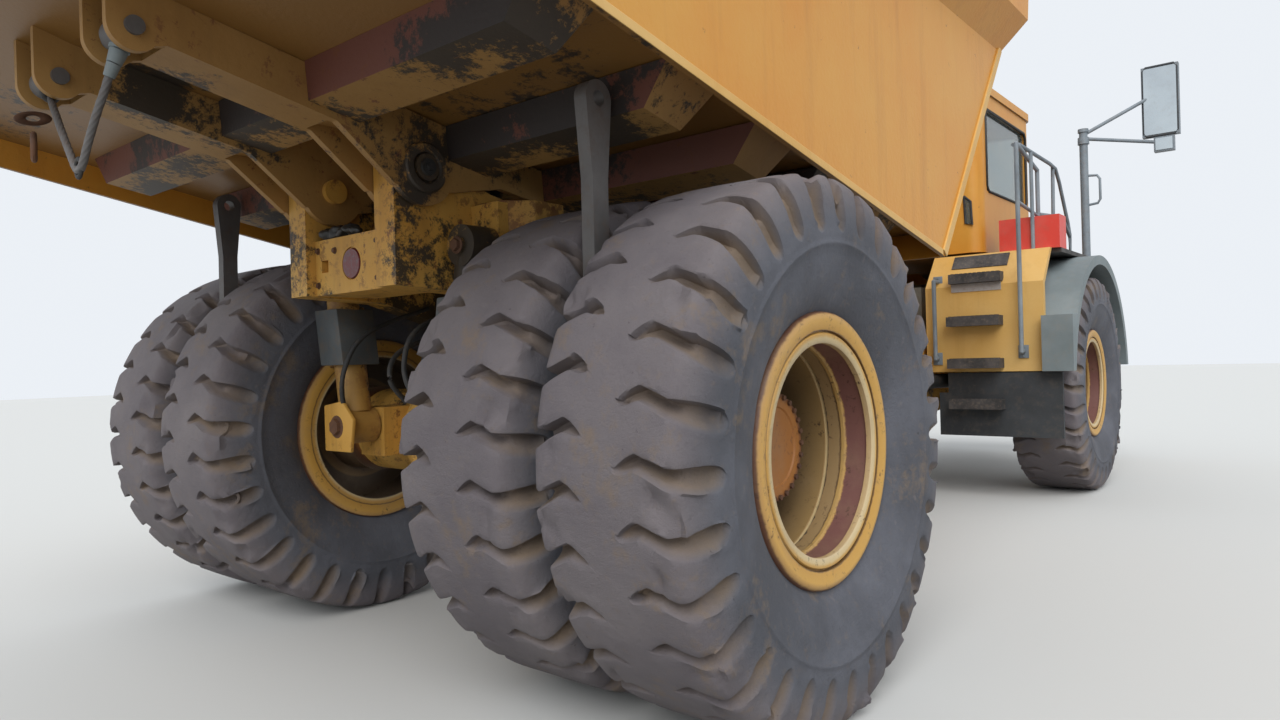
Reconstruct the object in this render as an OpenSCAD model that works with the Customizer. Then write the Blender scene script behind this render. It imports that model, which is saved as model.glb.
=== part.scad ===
// Articulated dump truck with two axles, single front tyres and twin rear tyres.
// It faces -Y, its left side is +X, and the origin is on the ground under the middle of its box.

/* [Chassis] */
// Front bumper to front axle
front_overhang = 3000; // [2900:10:3200]
// Front axle to rear axle
wheelbase = 6450; // [6400:10:6700]
// Rear axle to the tail of the bed
rear_overhang = 2350; // [2300:10:2500]
// Front axle to the steering pivot behind it
pivot_back = 1650; // [1600:10:1700]
// Height of the oscillation tube
hitch_z = 1180; // [1150:10:1220]
// Radius of the oscillation tube
hitch_r = 190; // [160:5:210]
// Steering pin radius
steer_pin_r = 70; // [50:5:80]
// Middle of each rear frame rail from the centre line
rail_x = 370; // [350:5:380]
// Width of a rear frame rail
rail_w = 150; // [120:5:160]
// Middle of each front frame rail from the centre line
front_rail_x = 385; // [370:5:390]
// Width of a front frame rail
front_rail_w = 110; // [90:5:120]

/* [Wheels] */
// Tyre radius to the tips of the lugs
tyre_r = 1055; // [1040:1:1060]
// Widest part of a tyre
tyre_w = 660; // [640:5:665]
// Distance between the middles of twin tyres
twin_pitch = 750; // [740:5:770]
// Middle of a rear twin pair from the centre line
rear_track_half = 1475; // [1470:5:1500]
// Middle of a front tyre from the centre line
front_track_half = 1490; // [1480:5:1520]
// Bead seat radius of a rim
bead_r = 445; // [440:1:450]
// Rim flange radius
flange_r = 533; // [525:1:540]
// Rim width between its flanges
rim_w = 432; // [420:1:450]
// Lugs around one side of a tyre
lug_count = 26; // [22:1:30]
// Radius of a wheel hub
hub_r = 250; // [220:5:270]

/* [Bed] */
// Outside width of the bed's sides
bed_w = 3900; // [3800:10:3960]
// Front lower corner of the bed ahead of the rear axle
bed_front = 1740; // [1700:10:1760]
// Height of that corner
bed_low_z = 1940; // [1930:10:1990]
// Rise of the bed's underside towards the tail
bed_slope = 10.5; // [10:0.5:11.5]
// Plate of the floor, sides and front wall
bed_t = 20; // [12:1:30]
// Depth of the cross ribs
rib_h = 150; // [130:5:170]
// Width of a cross rib at its bottom
rib_w = 230; // [180:5:260]
// Lower edge of the top rails
side_rail_z = 3360; // [3300:10:3420]
// How far the top rails stand out from the sides
side_rail_out = 150; // [120:5:170]
// Height of the top rails
side_rail_h = 360; // [300:10:380]
// Half width of the guard over the front wall
canopy_x = 1600; // [1400:10:1700]
// Reach of that guard ahead of the front wall's foot at the rails
canopy_l = 760; // [500:10:900]
// Rise of that guard
canopy_rise = 230; // [150:10:280]
// Bend of the floor behind the rear axle
tail_bend = 1770; // [1720:10:1800]
// Height of the tail edge
tail_z = 2920; // [2880:10:3000]
// Bed hinge behind the rear axle
tip_back = 640; // [620:5:660]
// Height of the bed hinge
tip_z = 2300; // [2290:5:2320]
// Bed hinge pin radius
tip_pin_r = 60; // [40:5:70]
// Outer face of the bed's long beams from the centre line
beam_out = 490; // [485:5:510]
// Width of a long beam
beam_w = 240; // [235:5:260]

/* [Cab] */
// Outside width of the cab
cab_w = 1900; // [1800:10:2000]
// Length of the cab
cab_l = 1800; // [1700:10:1850]
// Cab floor above the ground
cab_z = 2380; // [2360:10:2420]
// Height of the cab
cab_h = 1680; // [1600:10:1700]
// Cab wall
cab_t = 60; // [40:5:70]
// Rear face of the cab behind the front axle
cab_back = 850; // [800:10:900]
// Height of the cab's sills above its floor
sill_h = 620; // [560:10:700]

/* [Front body] */
// Rear face of the step panels behind the front axle
panel_back = 1150; // [1140:5:1180]
// Inner edge of a step panel from the centre line
panel_in = 490; // [480:5:520]
// Outer edge of a step panel from the centre line
panel_out = 1570; // [1540:5:1590]
// Lower edge of a step panel
panel_low = 1210; // [1180:10:1240]
// Thickness of the deck beside the cab
deck_t = 40; // [30:5:50]
// Outer face of the mudguards from the centre line
guard_out = 1830; // [1825:5:1860]
// Radius of the wheel arch
arch_r = 1170; // [1160:5:1185]
// Thickness of a mudguard
guard_t = 90; // [60:5:110]
// Width of one step
step_w = 480; // [440:5:520]
// Spacing of the steps
step_rise = 400; // [380:5:420]
// Radius of the handrail tube
rail_tube_r = 20; // [15:1:24]

/* [Clearances] */
// Radial gap at hinge pins
pin_gap = 0.1; // [0.05:0.01:0.1]
// Gap beside moving plates
side_gap = 8; // [6:1:10]

// Gap beside a front tyre
tyre_gap = 20; // [15:1:40]

/* [Hidden] */
$fn = 48;
front_y = -(front_overhang + wheelbase + rear_overhang) / 2;
front_axle_y = front_y + front_overhang;
rear_axle_y = front_axle_y + wheelbase;
tail_y = rear_axle_y + rear_overhang;
pivot_y = front_axle_y + pivot_back;
axle_z = tyre_r;
deck_z = axle_z + arch_r + guard_t + deck_t;
bed_y0 = rear_axle_y - bed_front;
tip_y = rear_axle_y + tip_back;
bend_y = rear_axle_y + tail_bend;
bed_x = bed_w / 2;
beam_in = beam_out - beam_w;

paint = "#d9962b";
dark_paint = "#8a6420";
rubber = "#4a4442";
plastic = "#4d5157";
steel = "#6b6b6b";
black = "#26262a";

// Height of the bed sides' lower edge at a place along the truck
function under(y) = bed_low_z + (y - bed_y0) * tan(bed_slope);
// Height of the underside of the bed's floor
function floor_under(y) = under(y) + rib_h;

// A plate with its outline in the YZ plane, from x to x + t
module slab(x, t) translate([x, 0, 0]) rotate([90, 0, 90]) linear_extrude(t) children();
// A plate with its outline in the XZ plane, from y to y + t
module wall(y, t) translate([0, y + t, 0]) rotate([90, 0, 0]) linear_extrude(t) children();
// A round bar along X between two places
module bar_x(x0, x1, y, z, r) translate([x0, y, z]) rotate([0, 90, 0]) cylinder(h = x1 - x0, r = r);
// A round bar along Y between two places
module bar_y(x, y0, y1, z, r) translate([x, y0, z]) rotate([-90, 0, 0]) cylinder(h = y1 - y0, r = r);
// A round bar between any two points
module rod(a, b, r) {
    d = b - a;
    translate(a) rotate([0, acos(d[2] / norm(d)), atan2(d[1], d[0])]) cylinder(h = norm(d), r = r);
}
// A bent tube through a list of points
module tube(path, r) {
    for (i = [0:len(path) - 2]) rod(path[i], path[i + 1], r);
    if (len(path) > 2) for (i = [1:len(path) - 2]) translate(path[i]) sphere(r = r * 1.04);
}
// The same shape on both sides
module both() { children(); mirror([1, 0, 0]) children(); }
// One side only: 1 is the left, -1 the right
module on_side(s) { if (s > 0) children(); else mirror([1, 0, 0]) children(); }

// Tyre section as radius and half width, with the bead, sidewall, shoulder and crown
tyre_profile = [[bead_r + 5, rim_w / 2 - 14], [flange_r - 8, rim_w / 2 - 2], [flange_r + 12, rim_w / 2 + 30],
    [(tyre_r + flange_r) / 2 - 20, tyre_w / 2], [tyre_r - 130, tyre_w / 2 - 8],
    [tyre_r - 35, tyre_w / 2 - 40], [tyre_r, tyre_w / 2 - 90]];
module tyre(x) {
    half = tyre_profile;
    back = [for (i = [len(half) - 1:-1:0]) [half[i][0], -half[i][1]]];
    translate([x, 0, axle_z]) rotate([0, 90, 0]) rotate_extrude($fn = 52) polygon(concat(half, back));
}
// Rim barrel with its flanges, hollow, centred at x
module rim(x) {
    w = rim_w / 2;
    lip = 42;
    skin = 22;
    translate([x, 0, axle_z]) rotate([0, 90, 0]) rotate_extrude() polygon([
        [bead_r, w - 14], [flange_r - 10, w], [flange_r, w + 14], [flange_r - 6, w + lip - 8],
        [flange_r - 30, w + lip], [bead_r - skin, w + lip - 10], [bead_r - skin, -w - lip + 10],
        [flange_r - 30, -w - lip], [flange_r - 6, -w - lip + 8], [flange_r, -w - 14],
        [flange_r - 10, -w], [bead_r, -w + 14]]);
}

// Rear unit

hitch_front_y = pivot_y + 480;
hitch_rear_y = pivot_y + 1500;
rail_top_off = 60;
// Side outline of a rear frame rail, rising under the bed to the hinge lugs
rail_outline = [[hitch_rear_y - 250, hitch_z - 260], [hitch_rear_y - 250, hitch_z + 300],
    [bed_y0 - 300, under(bed_y0) - rail_top_off - 60], [bed_y0, under(bed_y0) - rail_top_off],
    [tip_y - 420, under(tip_y - 420) - rail_top_off], [tip_y - 130, tip_z + 40], [tip_y - 60, tip_z + 110],
    [tip_y + 60, tip_z + 110], [tip_y + 130, tip_z + 40], [tip_y + 130, tip_z - 520],
    [tip_y - 300, tip_z - 540], [rear_axle_y - 900, hitch_z + 210], [bed_y0 - 300, hitch_z - 60]];
module rear_frame() color(paint) {
    difference() {
        union() {
            both() slab(rail_x - rail_w / 2, rail_w) polygon(rail_outline);
            // Nose casting around the oscillation tube
            bar_y(0, hitch_front_y + 40, hitch_rear_y, hitch_z, hitch_r + 130);
            wall(hitch_rear_y - 250, 250) square_at(0, hitch_z + 20, 2 * rail_x + rail_w, 560);
            // Cross tubes
            bar_x(-rail_x, rail_x, rear_axle_y - 1650, 1500, 130);
            bar_x(-rail_x, rail_x, rear_axle_y - 350, 1990, 110);
            // Brackets that carry the struts
            both() translate([rail_x + rail_w / 2 - 20, strut_y - 150, 1870]) cube([210, 60, 300]);
            both() bar_y(strut_top[0], strut_y - 100, strut_y + 100, strut_top[2], strut_pin_r);
            // Bed hinge pins
            both() bar_x(beam_in - 30, beam_out + 30, tip_y, tip_z, tip_pin_r);
            // Ears for the tipping cylinders
            both() slab(rail_x, 110) polygon([[tip_cyl_y - 300, tip_cyl_z + 420],
                [tip_cyl_y - 110, tip_cyl_z - 110], [tip_cyl_y + 110, tip_cyl_z - 110],
                [tip_cyl_y + 300, tip_cyl_z + 420]]);
            both() bar_x(rail_x, tip_cyl_x + 80, tip_cyl_y, tip_cyl_z, 55);
        }
        bar_y(0, hitch_front_y - 10, hitch_rear_y + 10, hitch_z, hitch_r + pin_gap);
    }
}
module square_at(x, y, w, h) translate([x - w / 2, y - h / 2]) square([w, h]);

module tail_beam() color(paint) difference() {
    union() {
        translate([-rail_x + rail_w / 2, tip_y - 20, 1780])
            cube([2 * rail_x - rail_w, 100, 270]);
        translate([-rail_x + rail_w / 2, tip_y - 250, 1780]) cube([2 * rail_x - rail_w, 240, 30]);
    }
    translate([180, tip_y + 40, 1890]) cube([60, 60, 60]);
    translate([-20, tip_y + 71, 1915]) rotate([-90, 0, 0]) cylinder(h = 30, r = 78);
}

// Axle housing: a tube that swells round the differential, turned about X
module housing(half_len, r_tube, r_end, r_mid) rotate([0, 90, 0]) rotate_extrude() polygon([
    [0, -half_len], [r_end, -half_len], [r_end, -half_len + 160], [r_tube, -half_len + 260], [r_tube, -340],
    [r_mid * 0.85, -210], [r_mid, -90], [r_mid, 90], [r_mid * 0.85, 210], [r_tube, 340],
    [r_tube, half_len - 260], [r_end, half_len - 160], [r_end, half_len], [0, half_len]]);
module rear_axle() color(paint) translate([0, rear_axle_y, axle_z]) {
    housing(axle_tube_x, 185, 235, 350);
    // Arms forward to the ball joint under the frame
    both() rod([axle_tube_x - 330, -60, 0], [165, -1460, 240], 85);
    translate([-190, -1620, 130]) cube([380, 240, 180]);
    // Nose of the differential
    rotate([90, 0, 0]) cylinder(h = 560, r = 190);
    // Brackets that carry the struts
    both() translate([strut_low[0] - 110, 120, -110]) cube([220, strut_y - 90 - rear_axle_y - 120, 260]);
    both() bar_y(strut_low[0], strut_y - rear_axle_y - 100, strut_y - rear_axle_y + 100, strut_low[2] - axle_z,
        strut_pin_r);
}
axle_tube_x = rear_track_half - twin_pitch / 2 - tyre_w / 2 - 20;

strut_y = rear_axle_y + 430;
strut_top = [rail_x + rail_w / 2 + 120, strut_y, 1960];
strut_low = [430, strut_y, axle_z + 60];
strut_pin_r = 35;
module rear_struts() color(paint) both() difference() {
    d = strut_top - strut_low;
    union() {
        rod(strut_low + d * 0.08, strut_low + d * 0.5, 82);
        rod(strut_low + d * 0.38, strut_low + d * 0.73, 105);
        rod(strut_low + d * 0.73, strut_low + d * 0.94, 82);
        for (e = [strut_low, strut_top]) bar_y(e[0], e[1] - 80, e[1] + 80, e[2], 95);
    }
    for (e = [strut_low, strut_top]) bar_y(e[0], e[1] - 100, e[1] + 100, e[2], strut_pin_r + pin_gap);
}

module rear_propshaft() color(steel) {
    rod([0, hitch_rear_y + 110, hitch_z - 20], [0, rear_axle_y - 600, axle_z], 70);
    bar_y(0, rear_axle_y - 660, rear_axle_y - 560, axle_z, 150);
}

// Hitch between the units: the tube turns in the rear frame, the fork carries the steering pins
fork_half_h = 330;
module hitch_tube() color(dark_paint) {
    bar_y(0, pivot_y, hitch_rear_y + 60, hitch_z, hitch_r);
    bar_y(0, hitch_rear_y + 15, hitch_rear_y + 75, hitch_z, hitch_r + 60);
    bar_y(0, hitch_front_y - 60, hitch_front_y + 30, hitch_z, hitch_r + 110);
    translate([0, pivot_y, hitch_z - fork_half_h]) cylinder(h = 2 * fork_half_h, r = 150);
    translate([0, pivot_y, hitch_z - fork_half_h - 160]) cylinder(h = 2 * fork_half_h + 320, r = steer_pin_r);
    // Ears above and below the eyes of the steering rods
    for (z = [-80, 45]) both() translate([0, 0, steer_z + z]) linear_extrude(35)
        polygon([[100, steer_eye_y + 160], [steer_eye_x + 50, steer_eye_y + 60],
            [steer_eye_x + 50, steer_eye_y - 60], [100, steer_eye_y - 120]]);
}

// Steering cylinders, flat beside the hitch
steer_eye_x = 300;
steer_eye_y = pivot_y + 150;
steer_base_x = 665;
steer_base_y = pivot_y - 900;
steer_z = hitch_z - 60;
module steer_barrel(s) on_side(s) color(black) {
    difference() {
        union() {
            translate([steer_base_x, steer_base_y, steer_z - 40]) cylinder(h = 80, r = 85);
            steer_run(0, 160, 36);
            steer_run(145, 720, 70);
        }
        steer_run(165, 820, 42);
    }
}
module steer_rod(s) on_side(s) color("silver") {
    steer_run(420, 1050, 32);
    translate([steer_eye_x, steer_eye_y, steer_z - 35]) cylinder(h = 70, r = 75);
}
// A bar on the steering cylinder's own line, from one distance to another
module steer_run(a, b, r) {
    p = [steer_base_x, steer_base_y, steer_z];
    q = [steer_eye_x, steer_eye_y, steer_z];
    u = (q - p) / norm(q - p);
    rod(p + u * a, p + u * b, r);
}
module steer_barrel_left() steer_barrel(1);
module steer_barrel_right() steer_barrel(-1);
module steer_rod_left() steer_rod(1);
module steer_rod_right() steer_rod(-1);

// Tipping cylinders
tip_cyl_x = 600;
tip_cyl_y = rear_axle_y - 1150;
tip_cyl_z = 960;
tip_eye_y = rear_axle_y - 1100;
tip_eye_z = under(tip_eye_y) - 160;
tip_from = [tip_cyl_x, tip_cyl_y, tip_cyl_z];
tip_to = [tip_cyl_x, tip_eye_y, tip_eye_z];
tip_run = tip_to - tip_from;
tip_dir = tip_run / norm(tip_run);
module tip_barrels() color(black) both() difference() {
    union() {
        rod(tip_from + tip_dir * 60, tip_to - tip_dir * 230, 105);
        bar_x(tip_cyl_x - 60, tip_cyl_x + 60, tip_cyl_y, tip_cyl_z, 110);
    }
    bar_x(tip_cyl_x - 70, tip_cyl_x + 70, tip_cyl_y, tip_cyl_z, 55 + pin_gap);
    rod(tip_from + tip_dir * 160, tip_to, 82);
}
module tip_stages() color("silver") both() difference() {
    rod(tip_from + tip_dir * 170, tip_to - tip_dir * 180, 80);
    rod(tip_from + tip_dir * 200, tip_to, 58);
}
module tip_rods() color("silver") both() {
    rod(tip_from + tip_dir * 210, tip_to - tip_dir * 20, 55);
    bar_x(tip_cyl_x - 40, tip_cyl_x + 40, tip_eye_y, tip_eye_z, 80);
    bar_x(tip_cyl_x - 62, tip_cyl_x + 62, tip_eye_y, tip_eye_z, 60);
}

// Wheels: the twin rims of one side are one welded and bolted unit
module rear_rim(s) color(paint) on_side(s) {
    x0 = rear_track_half - twin_pitch / 2;
    x1 = rear_track_half + twin_pitch / 2;
    translate([0, rear_axle_y, 0]) {
        rim(x0);
        rim(x1);
        // Spacer barrel between the rims
        ring_x(x0 + rim_w / 2 + 20, x1 - rim_w / 2 - 20, bead_r - 10, bead_r - 45);
        // Disc and hub
        ring_x(x0 - 40, x0 + 10, bead_r - 10, hub_r - 30);
        bar_x(x0 - 260, x1 - 330, 0, axle_z, hub_r);
        bar_x(x1 - 331, x1 - 250, 0, axle_z, hub_r - 70);
    }
}
module ring_x(x0, x1, r_out, r_in) difference() {
    bar_x(x0, x1, 0, axle_z, r_out);
    bar_x(x0 - 1, x1 + 1, 0, axle_z, r_in);
}
module rear_rim_left() rear_rim(1);
module rear_rim_right() rear_rim(-1);
module rear_tyres(s) color(rubber) on_side(s) translate([0, rear_axle_y, 0]) {
    tyre(rear_track_half - twin_pitch / 2);
    tyre(rear_track_half + twin_pitch / 2);
}
module rear_tyres_left() rear_tyres(1);
module rear_tyres_right() rear_tyres(-1);
module front_rim(s) color(paint) on_side(s) translate([0, front_axle_y, 0]) {
    rim(front_track_half);
    ring_x(front_track_half - 60, front_track_half - 10, bead_r - 10, hub_r - 30);
    bar_x(front_track_half - 300, front_track_half + 20, 0, axle_z, hub_r);
    bar_x(front_track_half + 19, front_track_half + 120, 0, axle_z, hub_r - 70);
}
module front_rim_left() front_rim(1);
module front_rim_right() front_rim(-1);
module front_tyre(s) color(rubber) on_side(s) translate([0, front_axle_y, 0]) tyre(front_track_half);
module front_tyre_left() front_tyre(1);
module front_tyre_right() front_tyre(-1);

// Bed

// The side plate's outline
tail_top_y = tail_y - 90;
rail_break_y = rear_axle_y + 1150;
front_wall_y = bed_y0 - (side_rail_z - bed_low_z) * tan(38.3);
function rail_low(y) = y < rail_break_y ? side_rail_z
    : side_rail_z - (y - rail_break_y) * (side_rail_z - tail_z - 160) / (tail_top_y - rail_break_y);
side_outline = [[bed_y0, under(bed_y0)], [bend_y, under(bend_y)], [tail_y, tail_z - 40], [tail_y, tail_z + 40],
    [tail_top_y, rail_low(tail_top_y)], [rail_break_y, side_rail_z], [front_wall_y, side_rail_z]];
corner = 300;
module bed_tub() color(paint) {
    both() slab(bed_x - bed_t, bed_t) polygon(side_outline);
    // Floor, bent up at the tail
    slab(-bed_x + bed_t, bed_w - 2 * bed_t) polygon([
        [bed_y0 - rib_h * tan(38.3), floor_under(bed_y0)], [bend_y, floor_under(bend_y)],
        [tail_y, tail_z], [tail_y, tail_z + bed_t], [bend_y, floor_under(bend_y) + bed_t],
        [bed_y0 - rib_h * tan(38.3) - 10, floor_under(bed_y0) + bed_t]]);
    // Front wall leaning forward, with the headboard on top
    slab(-bed_x + bed_t, bed_w - 2 * bed_t) polygon([
        [bed_y0, under(bed_y0)], [bed_y0 + 26, under(bed_y0)], [front_wall_y - 160, side_rail_z + side_rail_h],
        [front_wall_y - 186, side_rail_z + side_rail_h]]);
    slab(-canopy_x, 2 * canopy_x) polygon([
        [front_wall_y - 155, side_rail_z + side_rail_h - 40], [front_wall_y - 155, side_rail_z + side_rail_h],
        [front_wall_y - canopy_l, side_rail_z + side_rail_h + canopy_rise + 25],
        [front_wall_y - canopy_l, side_rail_z + side_rail_h + canopy_rise],
        [front_wall_y - 186, side_rail_z + side_rail_h - 40]]);
    // Inner corners between the floor and the sides
    both() translate([bed_x - bed_t - corner, 0, 0]) slab(0, corner) polygon([
        [bed_y0 + 10, floor_under(bed_y0) + bed_t - 4], [bend_y, floor_under(bend_y) + bed_t - 4],
        [bend_y, floor_under(bend_y) + bed_t + 6], [bed_y0 + 10, floor_under(bed_y0) + bed_t + 6]]);
}

// Hat-section ribs across the underside, as places ahead of the bed hinge
rib_places = [-430, 250, 850, 1400, 2000];
module bed_ribs() color(dark_paint) for (p = rib_places) {
    y = tip_y - p;
    lean = atan(tan(bed_slope));
    translate([0, y, under(y)]) rotate([lean, 0, 0]) rib_section();
}
module rib_section() difference() {
    translate([0, 0, 0]) rotate([90, 0, 90]) translate([0, 0, -1850]) linear_extrude(3700)
        polygon([[-rib_w / 2, 0], [rib_w / 2, 0], [rib_w / 2 + 40, rib_h], [-rib_w / 2 - 40, rib_h]]);
    // Slanted ends
    both() translate([1640, -300, -1]) rotate([0, 40, 0]) translate([0, 0, -200]) cube([300, 600, 500]);
    // The beams pass through
    both() translate([beam_in - 1, -300, -100]) cube([beam_w + 2, 600, 400]);
}

// The side outline of a long beam, deeper round the hinge and with an ear at the tail
module beam_outline() {
    difference() {
        union() {
            polygon([[bed_y0 + 60, under(bed_y0 + 60) + 20], [tip_y - 450, under(tip_y - 450) - 30],
                [tip_y - 150, tip_z - 90], [tip_y + 150, tip_z - 90],
                [tip_y + 420, under(tip_y + 420) - 30], [bend_y - 60, under(bend_y) - 30],
                [bend_y - 60, floor_under(bend_y - 60)], [bed_y0 + 60, floor_under(bed_y0 + 60)]]);
            translate([tip_y, tip_z]) circle(r = 165);
            translate([bend_y + 40, under(bend_y) + 10]) circle(r = 85);
            polygon([[bend_y - 70, under(bend_y) - 30], [bend_y + 40, under(bend_y) - 60],
                [bend_y + 125, under(bend_y) + 10], [bend_y + 125, floor_under(bend_y) + 38], [bend_y, floor_under(bend_y)],
                [bend_y - 70, floor_under(bend_y - 70)]]);
        }
        translate([bend_y + 40, under(bend_y) + 10]) circle(r = 32);
    }
}
module bed_beams() color(dark_paint) {
    rod_clevis();
    long_beams();
}
module long_beams() both() difference() {
    slab(beam_in, beam_w) beam_outline();
    // Slot for the frame's lug
    translate([rail_x - rail_w / 2 - side_gap, tip_y - 560, tip_z - 400])
        cube([rail_w + 2 * side_gap, 1000, 560]);
    // Slot between the tail ears
    translate([beam_in + 30, bend_y - 60, under(bend_y) - 150]) cube([beam_w - 60, 400, 600]);
    bar_x(beam_in - 1, beam_out + 1, tip_y, tip_z, tip_pin_r + pin_gap);
}

// Clevis plates for the tipping rods
module rod_clevis() both() for (x = [-62 - side_gap - 14, 62 + side_gap]) slab(tip_cyl_x + x, 14) polygon([
    [tip_eye_y - 90, tip_eye_z - 90], [tip_eye_y + 90, tip_eye_z - 90],
    [tip_eye_y + 100, floor_under(tip_eye_y + 100)], [tip_eye_y - 95, floor_under(tip_eye_y - 95)]]);

module bed_rails() color(paint) both() {
    difference() {
        wall(front_wall_y - 130, rail_break_y - front_wall_y + 130) polygon([
            [bed_x, side_rail_z], [bed_x + side_rail_out, side_rail_z + 200],
            [bed_x + side_rail_out, side_rail_z + side_rail_h], [bed_x - 20, side_rail_z + side_rail_h],
            [bed_x - 20, side_rail_z]]);
        slab(bed_x - 50, side_rail_out + 100) polygon([
            [front_wall_y - 400, side_rail_z - 10], [front_wall_y + 5, side_rail_z - 10],
            [front_wall_y - 100, side_rail_z + 200], [front_wall_y - 130, side_rail_z + side_rail_h + 10],
            [front_wall_y - 400, side_rail_z + side_rail_h + 10]]);
    }
    slab(bed_x - 20, side_rail_out + 20) polygon([
        [rail_break_y, side_rail_z], [rail_break_y, side_rail_z + side_rail_h],
        [tail_top_y, rail_low(tail_top_y) + 120], [tail_top_y, rail_low(tail_top_y)]]);
}

// Bars that hang between the twin tyres and knock stones out
ejector_y = rear_axle_y + 600;
ejector_z = 2400;
ejector_l = 950;
module ejector(s) color(steel) on_side(s) difference() {
    slab(rear_track_half - 30, 60) union() {
        translate([ejector_y, ejector_z]) circle(r = 70);
        polygon([[ejector_y - 70, ejector_z], [ejector_y + 70, ejector_z], [ejector_y + 45, ejector_z - 300],
            [ejector_y + 50, ejector_z - ejector_l + 20], [ejector_y + 30, ejector_z - ejector_l],
            [ejector_y - 30, ejector_z - ejector_l], [ejector_y - 40, ejector_z - 300]]);
    }
    bar_x(rear_track_half - 40, rear_track_half + 40, ejector_y, ejector_z, 30 + pin_gap);
}
module ejector_left() ejector(1);
module ejector_right() ejector(-1);

// Wire rope under the tail, fixed at both ears, with its eye at the bottom
rope_r = 14;
rope_points = [[-385, 5365, 2560], [-380, 5375, 2520], [-362, 5390, 2470], [-335, 5402, 2405],
    [-300, 5412, 2345], [-262, 5418, 2290], [-222, 5422, 2235], [-190, 5424, 2190], [-165, 5425, 2165],
    [-135, 5425, 2158], [-105, 5424, 2172], [-60, 5420, 2210], [0, 5414, 2262], [60, 5408, 2315],
    [120, 5402, 2368], [180, 5394, 2420], [235, 5386, 2462], [290, 5376, 2500], [340, 5366, 2540],
    [380, 5360, 2575]];
rope_sides = 8;
rope_rings = 40;
function unit(v) = v / norm(v);
// A point on the smooth curve through the rope's points
function rope_at(t) = let(i = min(floor(t), len(rope_points) - 2), u = t - i,
    p = rope_points[max(i - 1, 0)], q = rope_points[i], r = rope_points[i + 1],
    s = rope_points[min(i + 2, len(rope_points) - 1)])
    0.5 * (2 * q + u * (r - p) + u * u * (2 * p - 5 * q + 4 * r - s) + u * u * u * (3 * q - p - 3 * r + s));
function rope_id(k, j) = k * rope_sides + (j % rope_sides);
module sling() color("dimgray") {
    last = len(rope_points) - 1;
    rings = [for (k = [0:rope_rings]) let(t = last * k / rope_rings, c = rope_at(t),
        d = unit(rope_at(min(t + 0.05, last)) - rope_at(max(t - 0.05, 0))),
        side = [0, 1, 0], up = unit(cross(d, side)), across = cross(up, d))
        for (j = [0:rope_sides - 1]) let(a = 360 * j / rope_sides)
            c + rope_r * (cos(a) * across + sin(a) * up)];
    polyhedron(rings, concat(
        [[for (j = [rope_sides - 1:-1:0]) rope_id(0, j)]],
        [for (k = [0:rope_rings - 1], j = [0:rope_sides - 1])
            [rope_id(k, j), rope_id(k, j + 1), rope_id(k + 1, j + 1), rope_id(k + 1, j)]],
        [[for (j = [0:rope_sides - 1]) rope_id(rope_rings, j)]]));
}
module sling_fittings() color(steel) both() {
    bar_x(beam_in - 15, beam_out + 15, bend_y + 40, under(bend_y) + 10, 31.9);
    bar_x(335, 425, bend_y + 40, under(bend_y) + 10, 55);
}

// Front unit

module front_frame() color(paint) {
    both() difference() {
        slab(front_rail_x - front_rail_w / 2, front_rail_w) polygon([
            [front_y + 350, 950], [front_y + 350, 1300], [front_axle_y - 700, 1500], [front_axle_y + 700, 1500],
            [pivot_y - 580, 1650], [pivot_y - 580, 760], [front_axle_y + 700, 1230], [front_axle_y - 700, 1230]]);
    }
    // Rear yoke with the ears of the steering pins
    difference() {
        wall(pivot_y - 640, 100) square_at(0, hitch_z, 2 * front_rail_x + front_rail_w, 900);
        bar_y(0, pivot_y - 641, pivot_y - 539, axle_z - 50, 130);
    }
    for (z = [hitch_z - fork_half_h - 140, hitch_z + fork_half_h + 20]) difference() {
        union() {
            translate([-300, pivot_y - 580, z]) cube([600, 580, 120]);
            translate([0, pivot_y, z]) cylinder(h = 120, r = 200);
        }
        translate([0, pivot_y, z - 1]) cylinder(h = 122, r = steer_pin_r + pin_gap);
    }
    // Cross members
    wall(front_y + 350, 120) square_at(0, 1120, 2 * front_rail_x, 320);
    bar_x(-front_rail_x, front_rail_x, front_axle_y - 900, 1250, 70);
    // Towers over the suspension struts and the pad under the exhaust
    both() translate([front_rail_x - 55, front_axle_y - 130, 1400]) cube([110, 260, 550]);
    both() translate([front_rail_x - 55, front_axle_y - 130, 1900]) cube([360, 260, 50]);
    translate([front_rail_x - 55, cab_y1 + 50, 1500]) cube([110, 180, 200]);
    // Ears that hold the steering cylinders
    for (z = [-90, 50]) both() translate([front_rail_x, steer_base_y - 95, steer_z + z])
        cube([steer_base_x - front_rail_x + 70, 190, 40]);
}

// Towing lug under the bumper
module tow_lug() color(paint) slab(-30, 60) difference() {
    polygon([[front_y + 100, 560], [front_y + 100, 700], [front_y + 355, 712], [front_y + 355, 960],
        [front_y + 470, 960], [front_y + 470, 700], [front_y + 330, 560]]);
    translate([front_y + 190, 630]) circle(r = 32);
}

module engine_block() color("#5a5a52") {
    translate([-330, front_y + 850, 1320]) cube([660, 1500, 900]);
    translate([-300, front_y + 2350, 1520]) cube([600, 1410, 560]);
}

module front_axle() color(paint) translate([0, front_axle_y, axle_z]) {
    housing(front_track_half - tyre_w / 2 + 10, 165, 200, 330);
    both() translate([front_rail_x + 80, -120, 100]) cube([200, 240, 100]);
}
module front_struts() both() {
    a = [front_rail_x + 180, front_axle_y, axle_z + 200];
    b = [front_rail_x + 180, front_axle_y, 1900];
    color(paint) {
        rod(a, b, 85);
        rod(a + [0, 0, 250], b, 115);
    }
}
module front_propshaft() color(steel)
    rod([0, front_axle_y + 331, axle_z], [0, pivot_y - 500, axle_z - 60], 65);

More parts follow.
